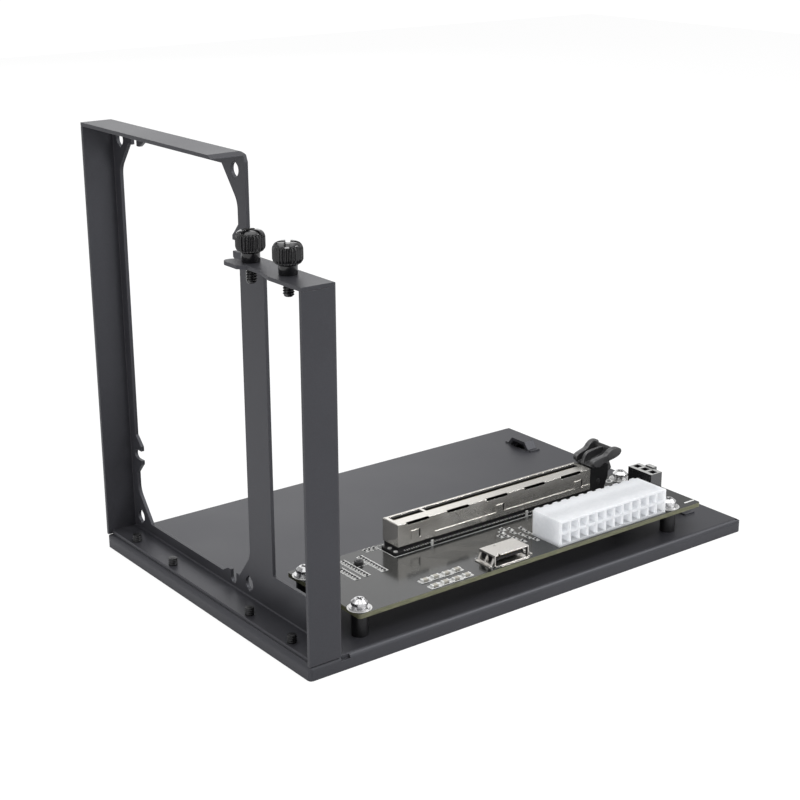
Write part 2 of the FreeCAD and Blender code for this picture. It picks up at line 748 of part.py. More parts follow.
def slot_latch():
    """Rocking latch: a stem on a pivot between the cheeks, and a head like a spread fan."""
    body = new_body("slot_latch")
    gap = "(slot_width / 2 - cheek_sheet - cheek_gap)"
    stem = sketch_on(body, "XZ_Plane")
    outline(stem, [
        ("-stem_inner", "-stem_foot"), ("stem_foot / 2", "-stem_foot"),
        ("stem_knee - stem_foot", "stem_foot / 4"),
        ("stem_knee", "stem_foot"), ("stem_knee - sheet", "latch_head_low + sheet"),
        ("-stem_inner", "latch_head_low + sheet"),
    ])
    pad(body, stem, f"2 * {gap}", both=True)
    pivot = sketch_on(body, "XZ_Plane")
    circle(pivot, "0", "0", "pivot_radius")
    pad(body, pivot, "slot_width", both=True)
    head = sketch_on(body, "XZ_Plane")
    outline(head, [
        ("-latch_inner", "latch_head_low"), ("latch_reach", "latch_head_high - latch_head_sheet"),
        ("latch_reach", "latch_head_high"), ("-latch_inner", "latch_head_low + latch_head_sheet"),
    ])
    pad(body, head, "latch_head_width", both=True)
    for start in ("latch_bowl", "-latch_head_width / 2"):
        wing = sketch_on(body, "XZ_Plane", start)
        outline(wing, [
            ("-latch_inner", "latch_head_low + sheet"), ("latch_reach", "latch_head_high - sheet"),
            ("latch_reach", "latch_head_high + wing_rise * 0.8"),
            ("latch_reach - sheet", "latch_head_high + wing_rise"),
            ("-latch_inner + sheet", "latch_head_low + latch_head_sheet + wing_rise / 3"),
        ])
        pad(body, wing, "latch_head_width / 2 - latch_bowl")
    for count in range(LATCH_RIBS):
        rib = sketch_on(body, "XZ_Plane", f"latch_bowl * 0.8 - rib_step * {count}")
        outline(rib, [
            ("-latch_inner / 2", "latch_head_low + latch_head_sheet / 2"),
            ("latch_reach - sheet", "latch_head_high - sheet"),
            ("latch_reach - sheet", "latch_head_high + rib_rise"),
            ("-latch_inner / 2", "latch_head_low + latch_head_sheet + rib_rise"),
        ])
        pad(body, rib, "rib_width")
    fan = sketch_on(body, "XY_Plane", "latch_head_high + wing_rise + sheet")
    rectangle(fan, "-latch_head_width", "-latch_head_width", "latch_head_width", "latch_head_width")
    wide = "latch_head_width / 2"
    neck = "latch_neck_width / 2"
    half = [("-latch_inner", neck), ("-latch_inner * 0.5", f"{neck} + wing_flare * 0.1"),
            ("latch_inner * 0.4", f"{neck} + wing_flare * 0.65"),
            ("latch_reach * 0.6", f"{wide} - wing_flare * 0.08"),
            ("latch_reach * 0.85", wide), ("latch_reach * 0.97", f"{wide} - wing_flare * 0.25"),
            ("latch_reach", f"{wide} - wing_flare * 0.6"), ("latch_reach * 0.94", f"{wide} - wing_flare")]
    outline(fan, half + [(x, f"-({y})") for x, y in reversed(half)])
    pocket(body, fan, "latch_head_high - latch_head_low + wing_rise + sheet * 1.5")
    place(body, f"{BOARD_LEFT} + {SLOT_LEFT} + slot_length + pivot_along",
          f"{BOARD_FRONT} + slot_from_front + slot_width / 2", f"{BOARD_TOP} + pivot_height")


def power_housing():
    """Right angle connector: two rows of twelve square cells open to the front."""
    body = new_body("power_housing")
    blank = sketch_on(body, "XY_Plane")
    rectangle(blank, "0", "0", POWER_LENGTH, "power_depth")
    pad(body, blank, "power_height")
    cells = sketch_on(body, "XZ_Plane")
    for row in ("-1", "1"):
        middle = f"power_height / 2 + {row} * power_pitch / 2"
        column = "power_end_wall + power_pitch / 2"
        rectangle(cells, f"{column} - cell_size / 2", f"{middle} - cell_size / 2",
                  f"{column} + cell_size / 2", f"{middle} + cell_size / 2")
    first = pocket(body, cells, "cell_depth")
    pattern = body.newObject("PartDesign::LinearPattern", "columns")
    pattern.Originals = [first]
    pattern.Direction = (cells, ["H_Axis"])
    bind(pattern, Length=f"power_pitch * {POWER_COLUMNS - 1}")
    pattern.Occurrences = POWER_COLUMNS
    body.Tip = pattern
    doc.recompute()
    end = value(POWER_LENGTH)
    fillet(body, "power_bevel", lambda a, b: near(a.x, end) and near(b.x, end)
           and near(a.z, b.z) and a.z > value("power_height / 2"))
    on_board(body, POWER_LEFT, "power_from_front")


def box(x, y, z, wide, deep, tall):
    """A plain block whose corner and sides follow the sizes."""
    block = doc.addObject("Part::Box", "block")
    bind(block, Length=wide, Width=deep, Height=tall)
    place(block, x, y, z)
    return block


def power_pins():
    """Two rows of square pins, bent down through the board at the back."""
    pins = []
    for column in range(POWER_COLUMNS):
        x = (f"{BOARD_LEFT} + {POWER_LEFT} + power_end_wall"
             f" + power_pitch * {column + 0.5} - pin_size / 2")
        for row, reach in (("-1", "pin_tail"), ("1", "pin_tail * 2.2")):
            z = f"{BOARD_TOP} + power_height / 2 + {row} * power_pitch / 2 - pin_size / 2"
            front = f"{BOARD_FRONT} + power_from_front + cell_depth - pin_reach"
            back = f"{BOARD_FRONT} + power_from_front + power_depth + {reach}"
            level = box(x, front, z, "pin_size", f"{back} - ({front})", "pin_size")
            drop = box(x, f"{back} - pin_size", BOARD_TOP, "pin_size", "pin_size",
                       f"{z} - {BOARD_TOP} + pin_size")
            pin = doc.addObject("Part::Fuse", "pin")
            pin.Base = level
            pin.Tool = drop
            pin.Refine = True
            pins.append(pin)
    node(doc.addObject("Part::Compound", "power_pins"), "power_pins").Links = pins


def socket_shell():
    """Folded metal shell, open to the front, with a lower lip."""
    body = new_body("socket_shell")
    blank = sketch_on(body, "XY_Plane")
    rectangle(blank, "0", "0", "socket_width", "socket_depth")
    pad(body, blank, "socket_height")
    mouth = sketch_on(body, "XZ_Plane")
    rectangle(mouth, "socket_sheet", "socket_sheet", "socket_width - socket_sheet",
              "socket_height - socket_sheet")
    pocket(body, mouth, "socket_depth - socket_sheet")
    lip = sketch_on(body, "XY_Plane")
    rectangle(lip, "0", "-socket_lip", "socket_width", "socket_sheet")
    pad(body, lip, "socket_sheet")
    step = sketch_on(body, "XY_Plane")
    rectangle(step, "socket_foot", "-socket_lip - socket_step", "socket_width - sheet", "0")
    pad(body, step, "socket_sheet / 2")
    for edge, out in (("0", "-"), ("socket_width", "+")):
        skirt = sketch_on(body, "XZ_Plane", "-socket_sheet")
        knee = f"{edge} {out} socket_flare"
        outline(skirt, [
            (edge, "socket_height * 0.7"), (knee, "socket_sheet"),
            (f"{edge} {out} socket_foot", "socket_sheet"),
            (f"{edge} {out} socket_foot", "0"), (f"{knee} {'+' if out == '-' else '-'} socket_sheet", "0"),
            (edge, "socket_height * 0.7 - socket_sheet * 1.8"),
        ])
        pad(body, skirt, "socket_depth - socket_sheet * 2", back=True)
    windows = sketch_on(body, "YZ_Plane", "socket_width / 2")
    for start in ("socket_depth / 2 - socket_post / 2 - socket_window", "socket_depth / 2 + socket_post / 2"):
        rectangle(windows, start, "socket_sheet * 2", f"{start} + socket_window",
                  "socket_height - socket_sheet * 2")
    pocket(body, windows, "socket_width + socket_foot * 2", both=True)
    notch = sketch_on(body, "XY_Plane", "socket_height")
    rectangle(notch, "socket_notch * 1.5", "-socket_sheet", "socket_notch * 2.5", "socket_notch")
    rectangle(notch, "socket_notch * 5", "socket_depth - socket_notch * 1.4",
              "socket_notch * 6.5", "socket_depth - socket_notch")
    pocket(body, notch, "socket_sheet * 2")
    on_board(body, SOCKET_LEFT, "socket_from_front")


def socket_tongue():
    """Moulded core at the back of the shell with the contact tongue."""
    body = new_body("socket_tongue")
    core = sketch_on(body, "XZ_Plane", "-tongue_reach")
    rectangle(core, "socket_sheet", "socket_sheet", "socket_width - socket_sheet",
              "socket_height - socket_sheet")
    pad(body, core, "socket_depth - socket_sheet - tongue_reach", back=True)
    tongue = sketch_on(body, "XZ_Plane", "-sheet")
    middle = "socket_height / 2"
    rectangle(tongue, "tongue_margin", f"{middle} - tongue_sheet / 2",
              "socket_width - tongue_margin", f"{middle} + tongue_sheet / 2")
    pad(body, tongue, "tongue_reach", back=True)
    on_board(body, SOCKET_LEFT, "socket_from_front")


def fan_header():
    """Upright header with three cells in a row and a latch ramp."""
    body = new_body("fan_header")
    blank = sketch_on(body, "XY_Plane")
    rectangle(blank, "0", "0", "header_width", "header_length")
    pad(body, blank, "header_height")
    cells = sketch_on(body, "XY_Plane", "header_height")
    for cell in range(HEADER_CELLS):
        y = f"header_length / 2 + header_pitch * {cell - 1}"
        rectangle(cells, "header_width / 2 - header_cell / 2", f"{y} - header_cell / 2",
                  "header_width / 2 + header_cell / 2", f"{y} + header_cell / 2")
    pocket(body, cells, "header_depth")
    ramp = sketch_on(body, "XZ_Plane", "-header_length / 2")
    inner = "header_width - ramp_rise"
    outer = "header_width + ramp_reach"
    outline(ramp, [
        (inner, "header_height - ramp_foot"), ("header_width", "header_height - ramp_foot"),
        (outer, "header_height - ramp_foot / 2"), (outer, "header_height + ramp_rise"),
        (inner, "header_height + ramp_rise"),
    ])
    pad(body, ramp, "header_pitch", both=True)
    on_board(body, HEADER_LEFT, "header_from_front")


def thumbscrew(count, x, y):
    """Threaded shank with its collar, and the knurled head that turns it."""
    shank = new_body(f"thumb_shank_{count}")
    side = sketch_on(shank, "XZ_Plane")
    outline(side, [
        ("0", "-thumb_thread_length"), ("thumb_thread * 0.7", "-thumb_thread_length"),
        ("thumb_thread", "thumb_thread * 0.3 - thumb_thread_length"), ("thumb_thread", "0"),
        ("thumb_collar", "0"), ("thumb_collar", "thumb_collar_height"), ("0", "thumb_collar_height"),
    ])
    revolve(shank, side)
    place(shank, x, y, CARD_TOP)

    head = new_body(f"thumb_head_{count}")
    side = sketch_on(head, "XZ_Plane")
    rectangle(side, "0", "thumb_under", "thumb_head", "thumb_head_height - thumb_crown")
    revolve(head, side)
    groove = sketch_on(head, "XY_Plane")
    outline(groove, [("thumb_head - knurl_depth", "0"), ("thumb_head + knurl_depth", "-knurl_depth * 1.8"),
                     ("thumb_head + knurl_depth", "knurl_depth * 1.8")])
    first = pocket(head, groove, "thumb_head_height", back=True)
    knurl = head.newObject("PartDesign::PolarPattern", "knurl")
    knurl.Originals = [first]
    knurl.Axis = (groove, ["N_Axis"])
    knurl.Angle = 360
    knurl.Occurrences = KNURLS
    head.Tip = knurl
    doc.recompute()
    core = sketch_on(head, "XZ_Plane")
    outline(core, [
        ("0", "0"), ("thumb_head - thumb_under * 1.6", "0"), ("thumb_core", "thumb_under * 0.7"),
        ("thumb_core", "thumb_head_height - thumb_crown * 0.7"),
        ("thumb_core - thumb_crown * 0.6", "thumb_head_height"), ("0", "thumb_head_height"),
    ])
    revolve(head, core)
    for wide, deep in (("thumb_head * 2", "cross_width"), ("cross_width", "thumb_head * 2")):
        arm = sketch_on(head, "XY_Plane", "thumb_head_height")
        rectangle(arm, f"-{wide} / 2", f"-{deep} / 2", f"{wide} / 2", f"{deep} / 2")
        pocket(head, arm, "cross_depth")
    place(head, x, y, f"{CARD_TOP} + thumb_collar_height")
    bind(head, Placement__Rotation__Angle=f"cross_turn_{count} * 1deg")


base_tray()
upright_frame()
for number, (place_x, place_y) in enumerate(FRAME_SCREWS, start=1):
    frame_screw(number, place_x, place_y)
circuit_board()
for number, (place_x, place_y) in enumerate(BOARD_HOLES, start=1):
    standoff(number, place_x, place_y)
    board_screw(number, place_x, place_y)
slot_housing()
slot_shield()
slot_latch()
power_housing()
power_pins()
socket_shell()
socket_tongue()
fan_header()
for number, (place_x, place_y) in enumerate(THUMBS, start=1):
    thumbscrew(number, place_x, place_y)
doc.recompute()

for item in doc.Objects:
    if "Invalid" in item.State or "Error" in item.State:
        raise RuntimeError(f"{item.Label} failed: {item.State}")
for item in nodes:
    if item.Shape.isNull() or not item.Shape.isValid():
        raise RuntimeError(f"{item.Label} has no valid shape")
os.makedirs("parts", exist_ok=True)
for item in nodes:
    item.Shape.exportStep(f"parts/{item.Label}.step")
    print(item.Label, len(item.Shape.Solids), round(item.Shape.Volume, 2))
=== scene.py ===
import math

import bpy
import numpy as np
from mathutils import Matrix, Vector


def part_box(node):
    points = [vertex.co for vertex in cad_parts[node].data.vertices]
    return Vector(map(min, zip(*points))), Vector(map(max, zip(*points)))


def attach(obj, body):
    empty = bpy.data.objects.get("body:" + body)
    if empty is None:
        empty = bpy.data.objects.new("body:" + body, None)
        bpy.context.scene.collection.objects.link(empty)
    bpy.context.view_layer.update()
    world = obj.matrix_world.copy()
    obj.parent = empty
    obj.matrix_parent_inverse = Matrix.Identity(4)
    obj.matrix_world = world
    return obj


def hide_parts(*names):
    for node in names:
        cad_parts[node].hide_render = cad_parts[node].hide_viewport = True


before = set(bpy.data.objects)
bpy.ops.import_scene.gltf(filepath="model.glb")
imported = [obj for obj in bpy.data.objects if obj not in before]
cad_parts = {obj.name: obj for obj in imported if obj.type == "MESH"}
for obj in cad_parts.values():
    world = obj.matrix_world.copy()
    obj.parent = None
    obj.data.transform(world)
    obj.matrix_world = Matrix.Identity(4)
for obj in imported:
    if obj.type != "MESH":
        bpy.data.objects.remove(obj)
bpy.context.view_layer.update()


# Camera: a long lens a little above the dock, looking along the tray from the
# upright frame's corner, as the photograph does.
PHOTO_SIDE = 800
LENS_IN_PIXELS = 1615.0
SENSOR_MM = 36.0
NEAREST, FARTHEST = 0.01, 20.0
CAMERA_PLACE = Vector((-0.3409, -0.4346, 0.2364))
CAMERA_RIGHT = Vector((0.7969, -0.6041, -0.0038))
CAMERA_UP = Vector((0.1923, 0.2477, 0.9495))

lens = bpy.data.cameras.new("lens")
lens.sensor_width = SENSOR_MM
lens.lens = LENS_IN_PIXELS / PHOTO_SIDE * lens.sensor_width
lens.clip_start = NEAREST
lens.clip_end = FARTHEST
camera = bpy.data.objects.new("camera", lens)
right = CAMERA_RIGHT.normalized()
back = right.cross(CAMERA_UP).normalized()
up = back.cross(right)
camera.matrix_world = Matrix.Translation(CAMERA_PLACE) @ Matrix((right, up, back)).transposed().to_4x4()
bpy.context.scene.collection.objects.link(camera)
bpy.context.scene.camera = camera
bpy.context.scene.view_settings.view_transform = "Standard"


# Studio: a white table that runs out of sight, a white surround and five soft
# lamps. What the camera sees straight of table and surround is plain white.
FLOOR_REACH = 1.6
FLOOR_COLOUR = (0.86, 0.86, 0.87, 1.0)
FLOOR_ROUGH = 0.7
SHADE_HALF = {"X": 0.096, "Y": 0.065}
SURROUND = 0.3
WHITE = (1.0, 1.0, 1.0, 1.0)
WHITE_GLOW = 1.08
FLOOR_WHITE = {"share": 0.86, "gloss": 0.15}
SURROUND_WHITE = {"share": 1.0, "gloss": 0.42}
LAMPS = {
    "overhead_softbox": {"place": (-0.1, 0.1, 1.1), "size": 1.3, "watts": 8.0},
    "left_softbox": {"place": (-1.2, -0.2, 0.4), "size": 0.9, "watts": 4.2},
    "back_softbox": {"place": (0.5, 1.3, 0.6), "size": 1.0, "watts": 2.6},
    "front_softbox": {"place": (0.5, -1.2, 0.5), "size": 0.8, "watts": 3.3},
    "edge_softbox": {"place": (0.75, -0.5, 0.95), "size": 0.3, "watts": 5.5},
}


def add(tree, kind, **values):
    """Add a shader node and set its plain attributes."""
    made = tree.nodes.new(kind)
    for key, setting in values.items():
        setattr(made, key, setting)
    return made


def feed(tree, socket, term):
    """Link a socket to another node's output, or set it to a value."""
    if isinstance(term, bpy.types.NodeSocket):
        tree.links.new(term, socket)
    else:
        socket.default_value = term


def maths(tree, operation, *terms, **values):
    """Add a Math node whose terms are numbers or the outputs of other nodes; give its result."""
    made = add(tree, "ShaderNodeMath", operation=operation, **values)
    for socket, term in zip(made.inputs, terms):
        feed(tree, socket, term)
    return made.outputs[0]


def white_to_camera(tree, shader, share, gloss):
    """Mix a shader with plain white light: all the share for what the camera sees, less of it in gloss."""
    path = add(tree, "ShaderNodeLightPath")
    seen = maths(tree, "MAXIMUM", path.outputs["Is Camera Ray"], path.outputs["Is Transmission Ray"])
    shone = maths(tree, "MULTIPLY_ADD", path.outputs["Is Glossy Ray"], gloss, seen)
    glow = add(tree, "ShaderNodeEmission")
    glow.inputs["Color"].default_value = WHITE
    glow.inputs["Strength"].default_value = WHITE_GLOW
    mix = add(tree, "ShaderNodeMixShader")
    tree.links.new(maths(tree, "MULTIPLY", shone, share), mix.inputs[0])
    tree.links.new(shader, mix.inputs[1])
    tree.links.new(glow.outputs[0], mix.inputs[2])
    return mix.outputs[0]


def outside_tray(tree):
    """Mask on the table: 1 outside the tray's footprint, 0 under it, where the table lies in the dark."""
    place = add(tree, "ShaderNodeTexCoord")
    apart = add(tree, "ShaderNodeSeparateXYZ")
    tree.links.new(place.outputs["Object"], apart.inputs[0])
    beyond = [maths(tree, "GREATER_THAN", maths(tree, "ABSOLUTE", apart.outputs[axis]), half)
              for axis, half in SHADE_HALF.items()]
    return maths(tree, "MAXIMUM", *beyond)


world = bpy.data.worlds.new("surround")
bpy.context.scene.world = world
world.use_nodes = True
tree = world.node_tree
tree.nodes["Background"].inputs["Color"].default_value = WHITE
tree.nodes["Background"].inputs["Strength"].default_value = SURROUND
whitened = white_to_camera(tree, tree.nodes["Background"].outputs[0], **SURROUND_WHITE)
tree.links.new(whitened, tree.nodes["World Output"].inputs["Surface"])

table = bpy.data.materials.new("white_table")
table.use_nodes = True
tree = table.node_tree
tree.nodes["Principled BSDF"].inputs["Base Color"].default_value = FLOOR_COLOUR
tree.nodes["Principled BSDF"].inputs["Roughness"].default_value = FLOOR_ROUGH
share = maths(tree, "MULTIPLY", outside_tray(tree), FLOOR_WHITE["share"])
whitened = white_to_camera(tree, tree.nodes["Principled BSDF"].outputs[0], share, FLOOR_WHITE["gloss"])
tree.links.new(whitened, tree.nodes["Material Output"].inputs["Surface"])
corners = [(-FLOOR_REACH, -FLOOR_REACH, 0.0), (FLOOR_REACH, -FLOOR_REACH, 0.0),
           (FLOOR_REACH, FLOOR_REACH, 0.0), (-FLOOR_REACH, FLOOR_REACH, 0.0)]
mesh = bpy.data.meshes.new("table_top")
mesh.from_pydata(corners, [], [(0, 1, 2, 3)])
mesh.materials.append(table)
floor = bpy.data.objects.new("table_top", mesh)
bpy.context.scene.collection.objects.link(floor)

for name, lamp in LAMPS.items():
    light = bpy.data.lights.new(name, "AREA")
    light.shape = "SQUARE"
    light.size = lamp["size"]
    light.energy = lamp["watts"]
    holder = bpy.data.objects.new(name, light)
    holder.location = lamp["place"]
    holder.rotation_euler = (-Vector(lamp["place"])).to_track_quat("-Z", "Y").to_euler()
    bpy.context.scene.collection.objects.link(holder)


# Tray and upright frame: steel sheet, cut, folded and powder coated in a dark
# grey with a very fine sand texture; a paler colour on its edges is painted highlight.
COAT = (0.026, 0.026, 0.030, 1.0)
COAT_PALE = (0.033, 0.033, 0.038, 1.0)
# Paler colour where the grain group's rim mask is high, on the edges: painted edge highlight.
COAT_EDGE_HIGHLIGHT = (0.075, 0.074, 0.08, 1.0)
COAT_TINT = (0.9, 0.92, 1.0, 1.0)
COAT_GRAIN = 2600.0
COAT_RELIEF = 0.00002
EDGE_ROUND = 0.0003
GRAIN_INPUTS = {"Scale": 1000.0, "Relief": 0.00002, "Strength": 0.3, "Edge": 0.0002}
SPECK = {"Detail": 3.0, "Roughness": 0.6}
CLOUD = {"Scale": 34.0, "Detail": 4.0}
RIM = {"From Min": 0.995, "From Max": 0.8}
BLEND_ENDS = (0.3, 0.7)


def set_inputs(node, settings):
    """Set a node's sockets by their names."""
    for socket, setting in settings.items():
        node.inputs[socket].default_value = setting


def grain_group():
    """Node group: noise on Object coordinates gives speck and cloud masks, an edge mask for painted
    highlight and a normal.
    """
    group = bpy.data.node_groups.new("fine_grain", "ShaderNodeTree")
    for socket, default in GRAIN_INPUTS.items():
        made = group.interface.new_socket(socket, in_out="INPUT", socket_type="NodeSocketFloat")
        made.default_value = default
    for socket in ("Speck", "Cloud", "Rim"):
        group.interface.new_socket(socket, in_out="OUTPUT", socket_type="NodeSocketFloat")
    group.interface.new_socket("Normal", in_out="OUTPUT", socket_type="NodeSocketVector")
    given = add(group, "NodeGroupInput")
    result = add(group, "NodeGroupOutput")
    spot = add(group, "ShaderNodeTexCoord")
    fine = add(group, "ShaderNodeTexNoise")
    set_inputs(fine, SPECK)
    group.links.new(spot.outputs["Object"], fine.inputs["Vector"])
    group.links.new(given.outputs["Scale"], fine.inputs["Scale"])
    coarse = add(group, "ShaderNodeTexNoise")
    set_inputs(coarse, CLOUD)
    group.links.new(spot.outputs["Object"], coarse.inputs["Vector"])
    soft = add(group, "ShaderNodeBevel", samples=4)
    group.links.new(given.outputs["Edge"], soft.inputs["Radius"])
    hard = add(group, "ShaderNodeNewGeometry")
    turn = add(group, "ShaderNodeVectorMath", operation="DOT_PRODUCT")
    group.links.new(soft.outputs["Normal"], turn.inputs[0])
    group.links.new(hard.outputs["Normal"], turn.inputs[1])
    rim = add(group, "ShaderNodeMapRange", clamp=True)
    set_inputs(rim, RIM)
    group.links.new(turn.outputs["Value"], rim.inputs["Value"])
    bump = add(group, "ShaderNodeBump")
    group.links.new(given.outputs["Relief"], bump.inputs["Distance"])
    group.links.new(given.outputs["Strength"], bump.inputs["Strength"])
    group.links.new(fine.outputs["Fac"], bump.inputs["Height"])
    group.links.new(soft.outputs["Normal"], bump.inputs["Normal"])
    group.links.new(fine.outputs["Fac"], result.inputs["Speck"])
    group.links.new(coarse.outputs["Fac"], result.inputs["Cloud"])
    group.links.new(rim.outputs["Result"], result.inputs["Rim"])
    group.links.new(bump.outputs["Normal"], result.inputs["Normal"])
    return group


fine_grain = grain_group()


def two_tones(tree, mask, ends, dark, pale):
    """Add a ramp that runs from dark to pale between two values of a mask; give its colour."""
    ramp = add(tree, "ShaderNodeValToRGB")
    for element, position, colour in zip(ramp.color_ramp.elements, ends, (dark, pale)):
        element.position = position
        element.color = colour
    tree.links.new(mask, ramp.inputs["Fac"])
    return ramp.outputs["Color"]


def mixed(tree, kind, factor, first, second):
    """Add a Mix node that runs from a first colour or number to a second one; give its result."""
    mix = add(tree, "ShaderNodeMix", data_type=kind)
    for socket, term in (("Factor", factor), ("A", first), ("B", second)):
        feed(tree, mix.inputs[socket], term)
    return mix.outputs["Result"]


def finish_material(name, dark, pale, rough, scale, relief, strength=0.3, edge=0.0002, rim_highlight=None, **sockets):
    """Make a grained finish: colour runs from dark to pale and roughness varies with the grain; a rim colour
    paints highlight on the edges.
    """
    made = bpy.data.materials.new(name)
    made.use_nodes = True
    tree = made.node_tree
    shader = tree.nodes["Principled BSDF"]
    grain = add(tree, "ShaderNodeGroup", node_tree=fine_grain)
    set_inputs(grain, {"Scale": scale, "Relief": relief, "Strength": strength, "Edge": edge})
    shift = maths(tree, "SUBTRACT", grain.outputs["Cloud"], 0.5)
    blend = maths(tree, "ADD", grain.outputs["Speck"], shift, use_clamp=True)
    colour = two_tones(tree, blend, BLEND_ENDS, dark, pale)
    if rim_highlight:
        colour = mixed(tree, "RGBA", grain.outputs["Rim"], colour, rim_highlight)
    tree.links.new(colour, shader.inputs["Base Color"])
    rough_range = add(tree, "ShaderNodeMapRange")
    set_inputs(rough_range, {"To Min": rough[0], "To Max": rough[1]})
    tree.links.new(blend, rough_range.inputs["Value"])
    tree.links.new(rough_range.outputs["Result"], shader.inputs["Roughness"])
    tree.links.new(grain.outputs["Normal"], shader.inputs["Normal"])
    set_inputs(shader, {socket.replace("_", " "): setting for socket, setting in sockets.items()})
    return made


def dress(material, *names):
    """Give CAD nodes a material in their one slot."""
    for name in names:
        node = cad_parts[name]
        node.data.materials.clear()
        node.data.materials.append(material)


powder_coat = finish_material("powder_coat", COAT, COAT_PALE,
                              rough=(0.36, 0.5), scale=COAT_GRAIN, relief=COAT_RELIEF, edge=EDGE_ROUND,
                              rim_highlight=COAT_EDGE_HIGHLIGHT, Specular_Tint=COAT_TINT)
dress(powder_coat, "base_tray", "upright_frame")


# Frame screws: black oxidised steel, driven from under the tray; the ends that
# stand above the floor flange show their rolled thread.
FRAME_THREAD = {"root": 0.00128, "crest": 0.00162, "pitch": 0.0007}
FRAME_THREAD_RISE = 0.0023
THREAD_PROUD = 0.00002
THREAD_POINT = {"taper": 0.18, "pitches": 0.6}
FOUR = (1, 2, 3, 4)
TURN = 2.0 * math.pi

black_screw = finish_material("black_screw", (0.014, 0.014, 0.015, 1.0), (0.03, 0.03, 0.032, 1.0),
                              rough=(0.22, 0.4), scale=1900.0, relief=0.00001, Metallic=0.6)
dress(black_screw, *[f"frame_screw_{count}" for count in FOUR])


def loft(rings):
    """Closed shell through rows of points (rows, columns, 3): faces between neighbours, and flat caps."""
    rows, columns = rings.shape[:2]
    i, j = np.meshgrid(np.arange(rows - 1), np.arange(columns), indexing="ij")
    here = i * columns + j
    beside = i * columns + (j + 1) % columns
    faces = np.stack([here, beside, beside + columns, here + columns], axis=-1).reshape(-1, 4).tolist()
    faces.append(np.arange(columns)[::-1].tolist())
    faces.append((np.arange(columns) + (rows - 1) * columns).tolist())
    return rings.reshape(-1, 3), faces


def thread(root, crest, pitch, rise, columns=40, rows_per_turn=8):
    """Screw thread in metres: r(t, z) = root + (crest - root) (1 - |2 u - 1|), u = z / pitch - t / 2 pi.

    Each u counts within one turn. The crest fades out in the last pitch, and the point tapers.
    """
    rows = max(4, int(rise / pitch * rows_per_turn))
    t = np.linspace(0.0, TURN, columns, endpoint=False)[None, :]
    z = np.linspace(0.0, rise, rows)[:, None]
    u = (z / pitch - t / TURN) % 1.0
    fade = np.clip((rise - z) / pitch, 0.0, 1.0) ** 0.5
    r = root + (crest - root) * (1.0 - np.abs(2.0 * u - 1.0)) * fade
    full = np.clip((rise - z) / (pitch * THREAD_POINT["pitches"]), 0.0, 1.0)
    r = r * (1.0 - THREAD_POINT["taper"] * (1.0 - full))
    return loft(np.stack([r * np.cos(t), r * np.sin(t), z + 0.0 * t], axis=-1))


def spread(shape, places, turn=0.0):
    """Repeat a shape at each place: turned about Z, then moved there."""
    points, faces = shape
    places = np.asarray(places, dtype=float).reshape(-1, 3)
    x = points[:, 0] * math.cos(turn) - points[:, 1] * math.sin(turn) + places[:, 0:1]
    y = points[:, 0] * math.sin(turn) + points[:, 1] * math.cos(turn) + places[:, 1:2]
    z = points[:, 2] + places[:, 2:3]
    shift = len(points)
    copies = [[spot + shift * count for spot in face] for count in range(len(places)) for face in faces]
    return np.stack([x, y, z], axis=-1).reshape(-1, 3), copies


def joined(shapes):
    """Several shapes as one: their points in a row, and their faces counted on."""
    points, faces, first = [], [], 0
    for spots, sides in shapes:
        points.append(spots)
        faces += [[spot + first for spot in side] for side in sides]
        first += len(spots)
    return np.concatenate(points), faces


def piece(name, shapes, material, body, sharp=35.0):
    """Make one object of several shapes, shaded smooth below the sharp angle, and let it ride on a body."""
    points, faces = joined(shapes)
    mesh = bpy.data.meshes.new(name)
    mesh.from_pydata(points.tolist(), [], faces)
    mesh.materials.append(material)
    mesh.shade_smooth()
    mesh.set_sharp_from_angle(angle=math.radians(sharp))
    made = bpy.data.objects.new(name, mesh)
    bpy.context.scene.collection.objects.link(made)
    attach(made, body)
    return made


def middle(name):
    """Middle of a node's box, and its lowest and highest corners."""
    low, high = (np.array(corner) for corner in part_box(name))
    return (low + high) / 2.0, low, high


for count in FOUR:
    centre, _, high = middle(f"frame_screw_{count}")
    foot = high[2] - FRAME_THREAD_RISE + THREAD_PROUD
    ends = spread(thread(rise=FRAME_THREAD_RISE, **FRAME_THREAD), [(centre[0], centre[1], foot)])
    piece(f"frame_screw_thread_{count}", [ends], black_screw, "dock")


# Standoffs: turned from bar and black anodised, riveted into the tray. Each one
# carries a corner of the board.
black_standoff = finish_material("black_standoff", (0.014, 0.014, 0.015, 1.0), (0.022, 0.022, 0.024, 1.0),
                                 rough=(0.3, 0.42), scale=1500.0, relief=0.00001, Metallic=0.5)
dress(black_standoff, *[f"standoff_{count}" for count in FOUR])


# Circuit board: glass fibre sheet, its cut edge yellow green, under a glossy
# black solder mask. The edge shows the layers of the sheet.
MASK_DARK = (0.010, 0.011, 0.011, 1.0)
MASK_PALE = (0.018, 0.019, 0.019, 1.0)
FIBRE_DARK = (0.105, 0.108, 0.06, 1.0)
FIBRE_PALE = (0.185, 0.185, 0.11, 1.0)
FIBRE_ENDS = (0.35, 0.65)
FIBRE_SCALE = 260.0
LAYER_STRETCH = (1.0, 1.0, 14.0)
CUT_ROUGH = 0.6
STEEP = 0.5
BOARD_LOW, BOARD_HIGH = (np.array(corner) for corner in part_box("circuit_board"))
BOARD_TOP = BOARD_HIGH[2]


def upward(tree):
    """How far a surface faces up: the Z part of its normal."""
    facing = add(tree, "ShaderNodeNewGeometry")
    apart = add(tree, "ShaderNodeSeparateXYZ")
    tree.links.new(facing.outputs["Normal"], apart.inputs[0])
    return apart.outputs["Z"]


def feeding(socket):
    """The output that is linked to a socket."""
    return socket.links[0].from_socket


